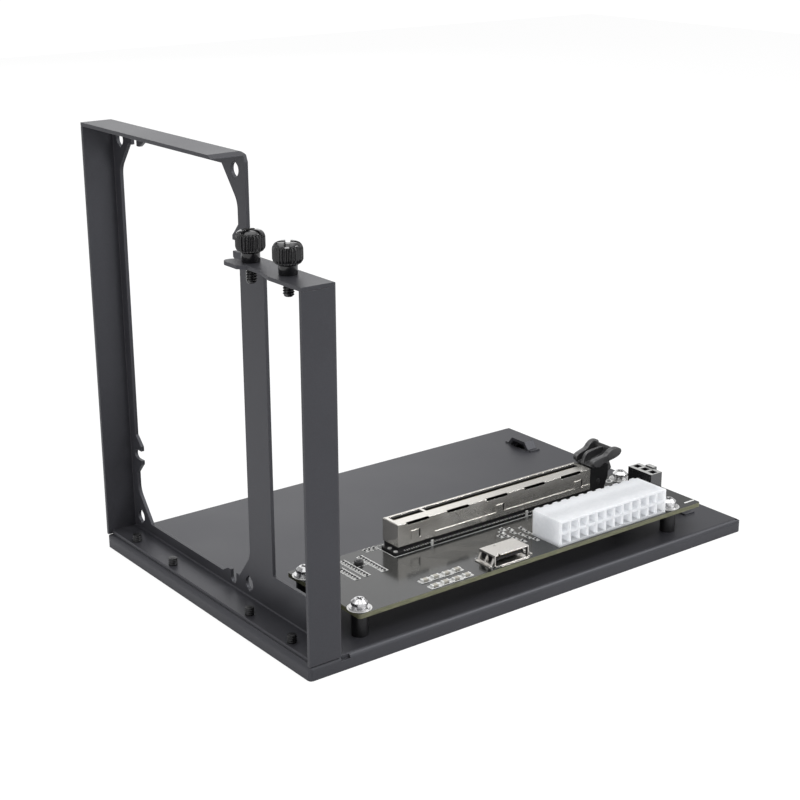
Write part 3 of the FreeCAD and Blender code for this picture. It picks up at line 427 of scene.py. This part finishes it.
board_mask = finish_material("board_mask", MASK_DARK, MASK_PALE,
                             rough=(0.1, 0.17), scale=700.0, relief=0.000006, edge=0.0001)
tree = board_mask.node_tree
shader = tree.nodes["Principled BSDF"]
cut = maths(tree, "LESS_THAN", maths(tree, "ABSOLUTE", upward(tree)), STEEP)
place = add(tree, "ShaderNodeTexCoord")
stretch = add(tree, "ShaderNodeMapping")
set_inputs(stretch, {"Scale": LAYER_STRETCH})
tree.links.new(place.outputs["Object"], stretch.inputs["Vector"])
layers = add(tree, "ShaderNodeTexNoise")
set_inputs(layers, {"Scale": FIBRE_SCALE})
tree.links.new(stretch.outputs["Vector"], layers.inputs["Vector"])
fibre = two_tones(tree, layers.outputs["Fac"], FIBRE_ENDS, FIBRE_DARK, FIBRE_PALE)
colour = mixed(tree, "RGBA", cut, feeding(shader.inputs["Base Color"]), fibre)
tree.links.new(colour, shader.inputs["Base Color"])
rough = mixed(tree, "FLOAT", cut, feeding(shader.inputs["Roughness"]), CUT_ROUGH)
tree.links.new(rough, shader.inputs["Roughness"])
dress(board_mask, "circuit_board")


# Tracks and vias: copper under the mask, etched in bundles that bend by 45
# degrees, and plated holes in three rows. From here on sizes are in millimetres,
# and so are places, from the board's left front corner.
TRACK = {"wide": 0.18, "step": 0.9, "sunk": -0.01, "rise": 0.03}
TRACK_BUNDLES = (
    {"left": 58.0, "top": 29.0, "count": 9, "run": 5.5, "jog": 4.0, "last": 3.5},
    {"left": 44.0, "top": 29.2, "count": 12, "run": 7.5, "jog": 9.0, "last": 1.0},
    {"left": 34.0, "top": 28.6, "count": 6, "run": 10.0, "jog": -5.0, "last": 6.0},
)
VIA = {"radius": 0.28, "height": 0.035}
VIA_ROWS = (
    {"left": 33.5, "step": 2.3, "front": 16.0, "rise": 1.1, "cycle": 3},
    {"left": 60.0, "step": 1.9, "front": 17.5, "rise": 0.9, "cycle": 2},
    {"left": 12.0, "step": 3.4, "front": 25.0, "rise": 1.6, "cycle": 4},
)
VIAS_PER_ROW = 9
DISC_SUNK = -0.01
SMALLEST_CORNER = 0.01
QUARTER = TURN / 4.0
copper_mask = finish_material("copper_mask", (0.034, 0.037, 0.036, 1.0), (0.05, 0.053, 0.051, 1.0),
                              rough=(0.12, 0.2), scale=700.0, relief=0.000006, edge=0.00005)


def from_corner(corner, x, y, z=0.0):
    """Millimetres from a corner, as metres in the dock's frame."""
    shifts = np.broadcast_arrays(np.asarray(x), np.asarray(y), np.asarray(z))
    return np.asarray(corner) + np.stack(shifts, axis=-1) / 1000.0


def on_board(x, y, z=0.0):
    """Board millimetres, from its left front corner and its top, as metres in the dock's frame."""
    return from_corner((BOARD_LOW[0], BOARD_LOW[1], BOARD_TOP), x, y, z)


def ribbon(path, width, rise):
    """Flat strip along a path (n, 3): each side is the path moved half a width along its level normal."""
    ahead = np.gradient(path, axis=0)
    ahead /= np.linalg.norm(ahead, axis=1, keepdims=True)
    aside = np.stack([-ahead[:, 1], ahead[:, 0], 0.0 * ahead[:, 0]], axis=-1) * width / 2.0
    lift = np.array([0.0, 0.0, rise])
    return loft(np.stack([path + aside, path - aside, path - aside + lift, path + aside + lift], axis=1))


def track_bundle(left, top, count, run, jog, last):
    """Parallel tracks side by side: straight towards the front edge, a 45 degree jog, straight again."""
    shapes = []
    bend = top - run
    level = bend - abs(jog)
    for number in range(count):
        x = left + TRACK["step"] * number
        path = on_board([x, x, x + jog, x + jog], [top, bend, level, level - last], TRACK["sunk"])
        shapes.append(ribbon(path, TRACK["wide"] / 1000.0, TRACK["rise"] / 1000.0))
    return shapes


piece("board_tracks", [track for bundle in TRACK_BUNDLES for track in track_bundle(**bundle)], copper_mask,
      "dock")


def outline_ring(width, depth, radius, steps=3):
    """Rounded rectangle, anticlockwise: corner centre + radius (cos t, sin t), t over each quarter turn."""
    t = np.arange(4)[:, None] * QUARTER + np.linspace(0.0, QUARTER, steps)[None, :]
    x = np.array([1.0, -1.0, -1.0, 1.0])[:, None] * (width / 2.0 - radius) + radius * np.cos(t)
    y = np.array([1.0, 1.0, -1.0, -1.0])[:, None] * (depth / 2.0 - radius) + radius * np.sin(t)
    return np.stack([x, y], axis=-1).reshape(-1, 2)


def block(width, depth, height, radius, inset=0.0, steps=3):
    """Upright block in millimetres: a rounded rectangle carried up, drawn in by inset at its top."""
    levels = [(0.0, 0.0), (height - inset, 0.0), (height, inset)] if inset else [(0.0, 0.0), (height, 0.0)]
    rings = []
    for z, shrink in levels:
        corner = max(radius - shrink / 2.0, SMALLEST_CORNER)
        ring = outline_ring(width - 2 * shrink, depth - 2 * shrink, corner, steps)
        rings.append(np.column_stack([ring, np.full(len(ring), z)]))
    return loft(np.stack(rings) / 1000.0)


def turned(profile, columns=48):
    """Solid of revolution about Z in millimetres: rings of a (radius, height) profile from the bottom up."""
    t = np.linspace(0.0, TURN, columns, endpoint=False)
    rings = [np.column_stack([r * np.cos(t), r * np.sin(t), np.full(columns, z)]) for r, z in profile]
    return loft(np.stack(rings) / 1000.0)


def disc(radius, height, columns=16):
    """Flat round disc in millimetres, its foot a little below its place."""
    return turned([(radius, DISC_SUNK), (radius, height)], columns)


number = np.arange(VIAS_PER_ROW)
vias = []
for row in VIA_ROWS:
    x = row["left"] + row["step"] * number
    y = row["front"] + row["rise"] * (number % row["cycle"])
    vias.append(spread(disc(VIA["radius"], VIA["height"]), on_board(x, y)))
piece("board_vias", vias, copper_mask, "dock")


# Small parts: ceramic chip capacitors and resistors with tinned ends, in rows
# and clusters as they are on the board, soldered on pads.
CHIP = {"long": 1.6, "wide": 0.8, "tall": 0.45, "end": 0.35, "lift": 0.02, "body": 0.96}
CHIP_CORNER = {"body": 0.06, "end": 0.08, "inset": 0.05}
PAD = {"long": 1.9, "wide": 1.15, "tall": 0.05, "out": 0.22, "sunk": -0.03}
CHIP_PITCH = 1.5
REAR_COLUMNS = ((15.2, 31.5, 7), (19.4, 36.4, 10), (26.3, 35.9, 10))
REAR_ROW = ((30.9, 39.2), (32.8, 39.2), (34.7, 39.2))
SOCKET_CLUSTER = (
    (75.4, 20.4), (78.1, 22.9), (77.6, 19.6), (78.4, 16.2), (79.3, 12.8), (80.2, 24.8), (81.3, 20.4),
    (82.4, 23.2), (82.5, 17.4), (82.8, 14.2), (83.6, 11.0), (86.0, 21.2), (85.6, 17.8), (86.2, 14.6),
)
LATCH_CLUSTER = ((136.2, 36.9), (139.4, 37.1), (145.9, 37.3), (147.5, 34.6), (149.2, 37.2))
LARGE_ROW = {"left": 31.9, "pitch": 4.5, "stagger": 0.2, "count": 4}
LARGE_FRONTS = (2.3, 7.6)
LARGE_SIZE = 1.9
chip_dark = finish_material("chip_dark", (0.012, 0.012, 0.013, 1.0), (0.024, 0.024, 0.026, 1.0),
                            rough=(0.3, 0.45), scale=2400.0, relief=0.00001, edge=0.00005)
chip_pale = finish_material("chip_pale", (0.36, 0.34, 0.30, 1.0), (0.5, 0.48, 0.43, 1.0),
                            rough=(0.35, 0.5), scale=2400.0, relief=0.00001, edge=0.00005)
solder = finish_material("solder", (0.66, 0.66, 0.65, 1.0), (0.8, 0.8, 0.79, 1.0),
                         rough=(0.3, 0.42), scale=1500.0, relief=0.00001, Metallic=0.55)

rear_columns = [(x, top - CHIP_PITCH * step) for x, top, count in REAR_COLUMNS for step in range(count)]
chips_across = np.array(rear_columns + list(LATCH_CLUSTER))
chips_along = np.array(REAR_ROW + SOCKET_CLUSTER)
step = np.arange(LARGE_ROW["count"])
large_x = LARGE_ROW["left"] + LARGE_ROW["pitch"] * step
chips_large = np.concatenate([np.column_stack([large_x, front + LARGE_ROW["stagger"] * (step % 2)])
                              for front in LARGE_FRONTS])


def chip_shapes(places, turn, size=1.0):
    """Body and two tinned ends on pads, for one chip size at every place."""
    spots = on_board(places[:, 0], places[:, 1], CHIP["lift"])
    inset, corner = CHIP_CORNER["inset"], CHIP_CORNER["end"]
    body = block(CHIP["long"] - 2 * CHIP["end"], CHIP["wide"] * CHIP["body"], CHIP["tall"] * CHIP["body"],
                 CHIP_CORNER["body"], inset, 2)
    cap = block(CHIP["end"], CHIP["wide"], CHIP["tall"], corner, inset, 2)
    pad = block(CHIP["end"] * PAD["long"], CHIP["wide"] * PAD["wide"], PAD["tall"], corner, steps=2)
    reach = (CHIP["long"] - CHIP["end"]) / 2.0
    ends = []
    for side in (-1.0, 1.0):
        for (points, faces), out, drop in ((cap, 0.0, 0.0), (pad, PAD["out"], PAD["sunk"])):
            moved = (points + np.array([side * (reach + out), 0.0, drop]) / 1000.0) * size
            ends.append(spread((moved, faces), spots, turn))
    return spread((body[0] * size, body[1]), spots, turn), ends


bodies_across, ends_across = chip_shapes(chips_across, 0.0)
bodies_along, ends_along = chip_shapes(chips_along, QUARTER)
bodies_large, ends_large = chip_shapes(chips_large, 0.0, LARGE_SIZE)
piece("chip_resistors", [bodies_across, bodies_along], chip_dark, "dock")
piece("chip_capacitors", [bodies_large], chip_pale, "dock")
piece("chip_ends", ends_across + ends_along + ends_large, solder, "dock")


# Printed marks: plain white ink outlines round the small parts, a bar at the
# board's corner and a ring, and nothing that can be read.
INK_RISE = 0.02
INK_SUNK = 0.01
INK_LINE = 0.16
INK_LINE_BOLD = 0.35
INK_CORNER = 0.02
CORNER_BAR = {"size": (5.0, 0.8, INK_RISE, 0.3), "place": (151.7, 3.0)}
HOLE = {"ring": 1.5, "radius": 0.95, "over_ink": 0.02, "place": (142.9, 36.1)}
INK_FRAMES = (
    {"places": chips_across, "width": 2.6, "depth": 1.2},
    {"places": chips_along, "width": 2.6, "depth": 1.3, "turn": QUARTER},
    {"places": chips_large, "width": 4.2, "depth": 2.5, "line": INK_LINE_BOLD},
    {"places": [(64.7, 6.9)], "width": 16.5, "depth": 9.4},
    {"places": [(22.7, 31.7)], "width": 4.0, "depth": 3.8},
    {"places": [(144.0, 18.5)], "width": 7.6, "depth": 13.2},
)
white_ink = finish_material("white_ink", (0.72, 0.73, 0.72, 1.0), (0.84, 0.85, 0.84, 1.0),
                            rough=(0.45, 0.6), scale=2500.0, relief=0.000008, edge=0.00003)


def frame_marks(spots, width, depth, turn=0.0, line=INK_LINE):
    """Rectangle outlines of four flat bars each, centred on spots in the dock's frame."""
    bars = []
    for along, across, shift_x, shift_y in ((width, line, 0.0, depth / 2), (width, line, 0.0, -depth / 2),
                                            (line, depth, width / 2, 0.0), (line, depth, -width / 2, 0.0)):
        points, faces = block(along, across, INK_RISE + INK_SUNK, INK_CORNER, steps=2)
        bars.append((points + np.array([shift_x, shift_y, -INK_SUNK]) / 1000.0, faces))
    return spread(joined(bars), spots, turn)


marks = []
for mark in INK_FRAMES:
    sizes = {key: value for key, value in mark.items() if key != "places"}
    marks.append(frame_marks(on_board(*np.transpose(mark["places"])), **sizes))
marks.append(spread(block(*CORNER_BAR["size"]), on_board(*CORNER_BAR["place"])))
marks.append(spread(disc(HOLE["ring"], INK_RISE, 24), on_board(*HOLE["place"])))
piece("ink_outlines", marks, white_ink, "dock")
# A black disc sits in the hole's place: painted shade of the hole.
hole = spread(disc(HOLE["radius"], INK_RISE + HOLE["over_ink"], 20), on_board(*HOLE["place"]))
piece("board_hole", [hole], chip_dark, "dock")


# Round part between the rows: a black moulded cap with a raised middle, soldered
# flat on the board.
CAP_PROFILE = ((1.6, 0.0), (1.6, 1.1), (1.45, 1.3), (0.9, 1.3), (0.85, 1.5), (0.7, 1.6))
CAP_PLACE = (22.6, 31.7)
cap = spread(turned(CAP_PROFILE, 24), on_board(*CAP_PLACE))
piece("round_part", [cap], chip_dark, "dock")


# Board hardware: zinc plated pan head screws with a cross recess, a split spring
# washer and a flat washer under each, on a bare ring of the board.
BARE_RING = {"radius": 4.1, "height": 0.03}
plated_steel = finish_material("plated_steel", (0.52, 0.52, 0.53, 1.0), (0.68, 0.68, 0.68, 1.0),
                               rough=(0.2, 0.34), scale=1700.0, relief=0.00001, Metallic=1.0)
dress(plated_steel, *[f"{kind}_{count}" for kind in ("board_washer", "spring_washer", "board_screw")
                      for count in FOUR])
bare_rings = []
for count in FOUR:
    centre, _, _ = middle(f"board_washer_{count}")
    ring = disc(BARE_RING["radius"], BARE_RING["height"], 40)
    bare_rings.append(spread(ring, [(centre[0], centre[1], BOARD_TOP)]))
piece("screw_pads", bare_rings, solder, "dock")


# Card slot: black nylon housing on a plinth with rows of contact tails, gold
# contacts in its slit and a folded nickel silver shield over it. Dark blocks in
# the shield's fold are painted shade, showing its slits as black as on the real one.
CONTACT_PITCH = 1.0
TAIL = {"size": (0.3, 0.6, 0.3, 0.05, 0.08), "count": 87, "first": 2.1, "out": 0.7, "up": 0.8}
TAIL_STAGGER = 0.2
CONTACT = {"size": (0.5, 0.34, 7.4, 0.05, 0.12), "count": 85, "first": 2.6, "aside": 0.72, "up": 1.8}
SLIT_MIDDLE = 6.2
TAB = {"radius": 0.75, "height": 0.3, "x": (37.3, 37.5), "y": (30.6, 34.2), "up": 0.8}
STRAP = {"size": (1.1, 0.3, 1.9, 0.1), "x": (52.1, 95.4), "y": (29.3, 29.3), "up": 0.02}
FOLD_SLIT = {"long": 9.5, "wide": 0.92, "deep": 0.44, "corner": 0.05, "proud": 0.02}
FOLD_SLITS = {"count": 5, "first": 8.55, "step": 17.75}
END_JOINT = {"size": (0.2, 7.6, 0.03, 0.05), "x": 0.25, "y": 4.7, "sunk": 0.01}
SLOT_LINE = {"clear": 0.9, "line": 0.22}
black_nylon = finish_material("black_nylon", (0.008, 0.008, 0.009, 1.0), (0.015, 0.015, 0.016, 1.0),
                              rough=(0.34, 0.5), scale=1300.0, relief=0.000014, Specular_IOR_Level=0.25)
dress(black_nylon, "slot_housing", "socket_tongue")
nickel = finish_material("nickel_silver", (0.6, 0.58, 0.545, 1.0), (0.67, 0.65, 0.61, 1.0),
                         rough=(0.2, 0.26), scale=900.0, relief=0.000002, strength=0.15, Metallic=0.84)
dress(nickel, "slot_shield")
gold = finish_material("contact_gold", (0.62, 0.43, 0.16, 1.0), (0.74, 0.54, 0.24, 1.0),
                       rough=(0.22, 0.34), scale=1500.0, relief=0.00001, Metallic=1.0)
_, slot_low, slot_high = middle("slot_shield")
slot_foot = (slot_low[0], slot_low[1], BOARD_TOP)
number = np.arange(TAIL["count"])
tail_x = TAIL["first"] + CONTACT_PITCH * number
tail_y = -TAIL["out"] - TAIL_STAGGER * (number % 2)
tails = spread(block(*TAIL["size"], steps=2), from_corner(slot_foot, tail_x, tail_y, TAIL["up"]))
piece("slot_tails", [tails], solder, "dock")
contact = block(*CONTACT["size"], steps=2)
contact_x = CONTACT["first"] + CONTACT_PITCH * np.arange(CONTACT["count"])
contacts = [spread(contact, from_corner(slot_foot, contact_x, contact_y, CONTACT["up"]))
            for contact_y in (SLIT_MIDDLE - CONTACT["aside"], SLIT_MIDDLE + CONTACT["aside"])]
piece("slot_contacts", contacts, gold, "dock")
tabs = spread(disc(TAB["radius"], TAB["height"], 20), on_board(TAB["x"], TAB["y"], TAB["up"]))
piece("slot_tabs", [tabs], solder, "dock")
straps = spread(block(*STRAP["size"]), on_board(STRAP["x"], STRAP["y"], STRAP["up"]))
piece("shield_straps", [straps], solder, "dock")
# gap_dark is near black: painted shade in the fold's slits, and the dark joint at the shield's end.
gap_dark = finish_material("gap_dark", (0.001, 0.001, 0.001, 1.0), (0.002, 0.002, 0.002, 1.0),
                           rough=(0.8, 0.9), scale=900.0, relief=0.000002, IOR=1.0)
fold = (slot_low[0], slot_low[1], slot_high[2])
fold_slit = block(FOLD_SLIT["long"], FOLD_SLIT["wide"], FOLD_SLIT["deep"], FOLD_SLIT["corner"], steps=2)
fold_slit_x = FOLD_SLITS["first"] + FOLD_SLITS["step"] * np.arange(FOLD_SLITS["count"])
fold_slit_y = FOLD_SLIT["wide"] / 2.0 - FOLD_SLIT["proud"]
fold_slit_z = FOLD_SLIT["proud"] - FOLD_SLIT["deep"]
shadows = [spread(fold_slit, from_corner(fold, fold_slit_x, fold_slit_y, fold_slit_z)),
           spread(block(*END_JOINT["size"], steps=2),
                  from_corner(fold, END_JOINT["x"], END_JOINT["y"], -END_JOINT["sunk"]))]
piece("shield_slit_shade", shadows, gap_dark, "dock")
# A pale line is drawn round the housing on the board, in the white_ink material.
house_middle, house_low, house_high = middle("slot_housing")
house_wide, house_deep = (house_high - house_low)[:2] * 1000.0
slot_line = frame_marks([(house_middle[0], house_middle[1], BOARD_TOP)], house_wide + 2 * SLOT_LINE["clear"],
                       house_deep + 2 * SLOT_LINE["clear"], line=SLOT_LINE["line"])
piece("slot_outline", [slot_line], white_ink, "dock")


# Latch: black nylon rocker on a pivot between the slot's cheeks; two flared wings
# with raised ears stand either side of a rib over a deep dish. Outlines are
# (x, z) in millimetres from the pivot.
PIVOT_IN_BOX = {"x": 4.9, "z": 2.6}
PIVOT_PIN = {"radius": 1.15, "half": 3.95, "round_off": 0.15}
WING = ((-4.9, 9.0), (-0.8, 9.9), (1.6, 10.3), (2.9, 11.7), (4.9, 12.7), (6.6, 12.7), (8.3, 12.0),
        (8.7, 10.9), (7.7, 9.6), (6.2, 8.9), (4.0, 8.3), (1.4, 7.9), (-0.7, 6.75), (-2.4, 6.15), (-4.4, 6.9))
WING_MIDDLE, WING_HALF, WING_FLARE, WING_ROUND = 5.0, 1.1, 0.12, 0.4
RIB = ((-4.1, 5.0), (-4.1, 7.0), (-3.2, 9.4), (-1.8, 10.6), (0.6, 11.0), (7.2, 11.5), (7.2, 8.0), (1.0, 6.0))
RIB_MIDDLE, RIB_HALF, RIB_ROUND = 1.0, 0.65, 0.3
DISH = ((-3.8, 6.1), (-3.9, 6.6), (-1.5, 7.0), (2.0, 8.0), (6.1, 8.9), (6.5, 11.7), (7.6, 11.6), (7.6, 8.6),
        (2.2, 7.65), (-0.2, 6.65), (-1.6, 6.1))
DISH_HALF = 4.9
STEM = ((-3.5, -2.5), (-3.5, 6.6), (6.2, 8.8), (7.6, 5.2), (8.5, 3.0), (6.4, 1.7), (4.9, 0.9), (1.2, -2.5))
STEM_HALF = 2.1
END_SHRINK = 0.95


def rounded(outline, passes=2):
    """Closed outline with its corners cut: each pass puts points at 1/4 and 3/4 of every side."""
    outline = np.asarray(outline)
    for _ in range(passes):
        after = np.roll(outline, -1, axis=0)
        quarters = [0.75 * outline + 0.25 * after, 0.25 * outline + 0.75 * after]
        outline = np.stack(quarters, axis=1).reshape(-1, 2)
    return outline


def across_block(profile, half, round_off=0.25, across=0.0, flare=0.0):
    """Prism along Y about y = across + flare x: a clockwise profile in (x, z), drawn in at both ends."""
    profile = np.asarray(profile)
    centre = profile.mean(axis=0)
    rings = []
    inner = half - round_off
    for y, shrink in ((-half, END_SHRINK), (-inner, 1.0), (inner, 1.0), (half, END_SHRINK)):
        ring = centre + (profile - centre) * shrink
        rings.append(np.column_stack([ring[:, 0], across + flare * ring[:, 0] + y, ring[:, 1]]))
    return loft(np.stack(rings) / 1000.0)


latch_middle, latch_low, _ = middle("slot_latch")
latch_corner = (latch_low[0], latch_middle[1], latch_low[2])
latch_pivot = from_corner(latch_corner, PIVOT_IN_BOX["x"], 0.0, PIVOT_IN_BOX["z"])
t = np.linspace(0.0, TURN, 24, endpoint=False)
pin_outline = PIVOT_PIN["radius"] * np.column_stack([np.sin(t), np.cos(t)])
latch_parts = [across_block(rounded(WING), WING_HALF, WING_ROUND, side * WING_MIDDLE, side * WING_FLARE)
               for side in (-1.0, 1.0)]
latch_parts.append(across_block(rounded(RIB), RIB_HALF, RIB_ROUND, RIB_MIDDLE))
latch_parts.append(across_block(rounded(DISH, 1), DISH_HALF))
latch_parts.append(across_block(STEM, STEM_HALF))
latch_parts.append(across_block(pin_outline, PIVOT_PIN["half"], PIVOT_PIN["round_off"]))
latch_nylon = finish_material("latch_nylon", (0.016, 0.016, 0.017, 1.0), (0.026, 0.026, 0.028, 1.0),
                              rough=(0.25, 0.36), scale=1300.0, relief=0.000012, Specular_IOR_Level=0.9)
latch_parts = [spread(part, latch_pivot) for part in latch_parts]
latch = piece("latch_shape", latch_parts, latch_nylon, "latch")
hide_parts("slot_latch")


# Power connector: natural white nylon that light gets into, with a painted glow
# besides, a rib behind each column and bright tinned pins that bend down through the board.
CELLS = {"count": 12, "pitch": 4.2, "wall": 0.65}
CELL_RIB = {"size": (2.3, 1.5, 6.6, 0.3, 0.2), "behind": 0.5, "down": 6.7}
# The emission is a painted glow: the nylon gives off light of its own, in its cells too.
NYLON_SUBSURFACE_AND_GLOW = {"Subsurface_Weight": 0.9, "Subsurface_Scale": 0.015, "Subsurface_Radius": (1.0, 1.0, 1.0),
                  "Emission_Color": (0.93, 0.96, 1.0, 1.0), "Emission_Strength": 0.15}
white_nylon = finish_material("white_nylon", (0.62, 0.64, 0.67, 1.0), (0.68, 0.695, 0.72, 1.0),
                              rough=(0.3, 0.4), scale=900.0, relief=0.00001, edge=0.0003,
                              **NYLON_SUBSURFACE_AND_GLOW)
dress(white_nylon, "power_housing")
tinned = finish_material("tinned_shell", (0.62, 0.6, 0.57, 1.0), (0.74, 0.72, 0.69, 1.0),
                         rough=(0.25, 0.4), scale=1500.0, relief=0.00001, Metallic=1.0)
dress(tinned, "socket_shell", "power_pins")
_, power_low, power_high = middle("power_housing")
power_back = (power_low[0], power_high[1], power_high[2])
cell_x = CELLS["wall"] + CELLS["pitch"] * (np.arange(CELLS["count"]) + 0.5)
rib_places = from_corner(power_back, cell_x, CELL_RIB["behind"], -CELL_RIB["down"])
cell_ribs = spread(block(*CELL_RIB["size"]), rib_places)
piece("power_ribs", [cell_ribs], white_nylon, "dock")


# Cable socket: a tin plated folded shell soldered by its feet, with a black
# core; nine small gold contacts lie on the tongue.
WIPE = {"count": 9, "pitch": 1.3, "size": (0.45, 4.2, 0.12, 0.04), "back": 2.4, "up": 0.45}
tongue_middle, tongue_low, _ = middle("socket_tongue")
tongue_front = (tongue_middle[0], tongue_low[1], tongue_middle[2])
wipe_x = WIPE["pitch"] * (np.arange(WIPE["count"]) - (WIPE["count"] - 1) / 2.0)
wipes = spread(block(*WIPE["size"], steps=2), from_corner(tongue_front, wipe_x, WIPE["back"], WIPE["up"]))
piece("socket_contacts", [wipes], gold, "dock")


# Fan header: glossy black nylon whose level top is painted pale grey, a painted
# sheen; a square tinned pin stands in each of its three cells.
HEADER_TOP_SHEEN = (0.42, 0.42, 0.41, 1.0)
SHEEN_FACING = {"From Min": 0.85, "From Max": 0.95}
HEADER_PIN = {"size": (0.64, 0.64, 7.6, 0.04, 0.15), "x": 144.0, "y": (14.6, 18.5, 22.4), "up": 1.0}
header_nylon = finish_material("header_nylon", (0.012, 0.012, 0.013, 1.0), (0.02, 0.02, 0.022, 1.0),
                               rough=(0.1, 0.18), scale=1300.0, relief=0.000004, IOR=1.7, Coat_Weight=0.4,
                               Coat_Roughness=0.08)
tree = header_nylon.node_tree
shader = tree.nodes["Principled BSDF"]
# Faces that look up are coloured pale grey: painted sheen on the header's top.
level = add(tree, "ShaderNodeMapRange", clamp=True)
set_inputs(level, SHEEN_FACING)
tree.links.new(upward(tree), level.inputs["Value"])
sheen_topped = mixed(tree, "RGBA", level.outputs["Result"], feeding(shader.inputs["Base Color"]), HEADER_TOP_SHEEN)
tree.links.new(sheen_topped, shader.inputs["Base Color"])
dress(header_nylon, "fan_header")
pin_places = on_board(HEADER_PIN["x"], HEADER_PIN["y"], HEADER_PIN["up"])
pins = spread(block(*HEADER_PIN["size"], steps=2), pin_places)
piece("header_pins", [pins], tinned, "dock")


# Thumbscrews: turned steel, black oxidised, with a knurled grip and a cross
# slot; the rolled thread shows below the plate and turns with the screw.
GRIP_PROFILE = ((0.01, 0.0), (2.7, 0.0), (3.35, 0.12), (3.95, 0.5), (4.4, 1.05), (4.6, 1.7), (4.6, 4.6),
                (4.5, 5.2), (4.2, 5.8), (3.7, 6.3), (3.05, 6.62), (2.2, 6.76), (1.1, 6.8), (0.01, 6.8))
KNURL = {"count": 26, "deep": 0.62, "low": 0.5, "high": 5.9, "run_in": 0.4, "run_out": 0.7, "inner": 3.0}
CROSS = {"wide": 1.5, "soft": 0.14, "deep": 1.25, "well": 0.9, "well_radius": 1.6}
CROSS_TURNS = (53.0, 20.0)
THUMB_THREAD = {"root": 0.00142, "crest": 0.00178, "pitch": 0.0008}
COLLAR = {"tall": 3.0, "radius": 2.9, "foot": 0.94, "foot_round": 0.25, "top": 0.96, "top_round": 0.15}
GRIP_SHARP = 50.0
thumb_black = finish_material("thumb_black", (0.003, 0.003, 0.004, 1.0), (0.007, 0.007, 0.008, 1.0),
                              rough=(0.16, 0.24), scale=1500.0, relief=0.000006, edge=0.0001,
                              Coat_Weight=0.3, Coat_Roughness=0.06)
dress(thumb_black, *[f"thumb_{part}_{count}" for part in ("head", "shank") for count in (1, 2)])


def grip(turn, columns=240, rows=84):
    """Knurled head: the profile turned about Z, its side cut by the root of (1 + cos(count t)) / 2.

    Its crown is cut by a cross slot, turned by an angle, with a round well in the middle.
    """
    profile = np.array(GRIP_PROFILE)
    along = np.concatenate([[0.0], np.cumsum(np.linalg.norm(np.diff(profile, axis=0), axis=1))])
    spots = np.linspace(0.0, along[-1], rows)
    r = np.interp(spots, along, profile[:, 0])[:, None]
    z = np.interp(spots, along, profile[:, 1])[:, None]
    t = np.linspace(0.0, TURN, columns, endpoint=False)[None, :]
    window = np.clip((z - KNURL["low"]) / KNURL["run_in"], 0.0, 1.0)
    window = window * np.clip((KNURL["high"] - z) / KNURL["run_out"], 0.0, 1.0) * (r > KNURL["inner"])
    r = r - KNURL["deep"] * ((1.0 + np.cos(KNURL["count"] * t)) / 2.0) ** 0.5 * window
    x, y = r * np.cos(t), r * np.sin(t)
    cos, sin = math.cos(math.radians(turn)), math.sin(math.radians(turn))
    off = np.minimum(np.abs(x * cos + y * sin), np.abs(y * cos - x * sin))
    slot = np.clip((CROSS["wide"] / 2.0 - off) / CROSS["soft"] + 0.5, 0.0, 1.0)
    well = CROSS["well"] * np.exp(-(np.hypot(x, y) / CROSS["well_radius"]) ** 4)
    floor_z = GRIP_PROFILE[-1][1] - CROSS["deep"] - well
    z = np.where(z > floor_z, floor_z + (z - floor_z) * (1.0 - slot), z + 0.0 * t)
    return loft(np.stack([x, y, z], axis=-1) / 1000.0)


collar_profile = [(COLLAR["radius"] * COLLAR["foot"], 0.0), (COLLAR["radius"], COLLAR["foot_round"]),
                  (COLLAR["radius"], COLLAR["tall"] - COLLAR["top_round"]),
                  (COLLAR["radius"] * COLLAR["top"], COLLAR["tall"])]
for count, turn in zip((1, 2), CROSS_TURNS):
    centre, low, _ = middle(f"thumb_head_{count}")
    head = piece(f"thumb_grip_{count}", [spread(grip(turn), [(centre[0], centre[1], low[2])])], thumb_black,
                 f"thumb_{count}", GRIP_SHARP)
    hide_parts(f"thumb_head_{count}")
    centre, low, high = middle(f"thumb_shank_{count}")
    collar_foot = high[2] - COLLAR["tall"] / 1000.0
    points, faces = thread(rise=collar_foot - low[2], **THUMB_THREAD)
    downward = spread((points * np.array([1.0, -1.0, -1.0]), faces), [(centre[0], centre[1], collar_foot)])
    collar = spread(turned(collar_profile), [(centre[0], centre[1], collar_foot)])
    screw = piece(f"thumb_screw_{count}", [downward, collar], thumb_black, f"thumb_{count}")
    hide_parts(f"thumb_shank_{count}")
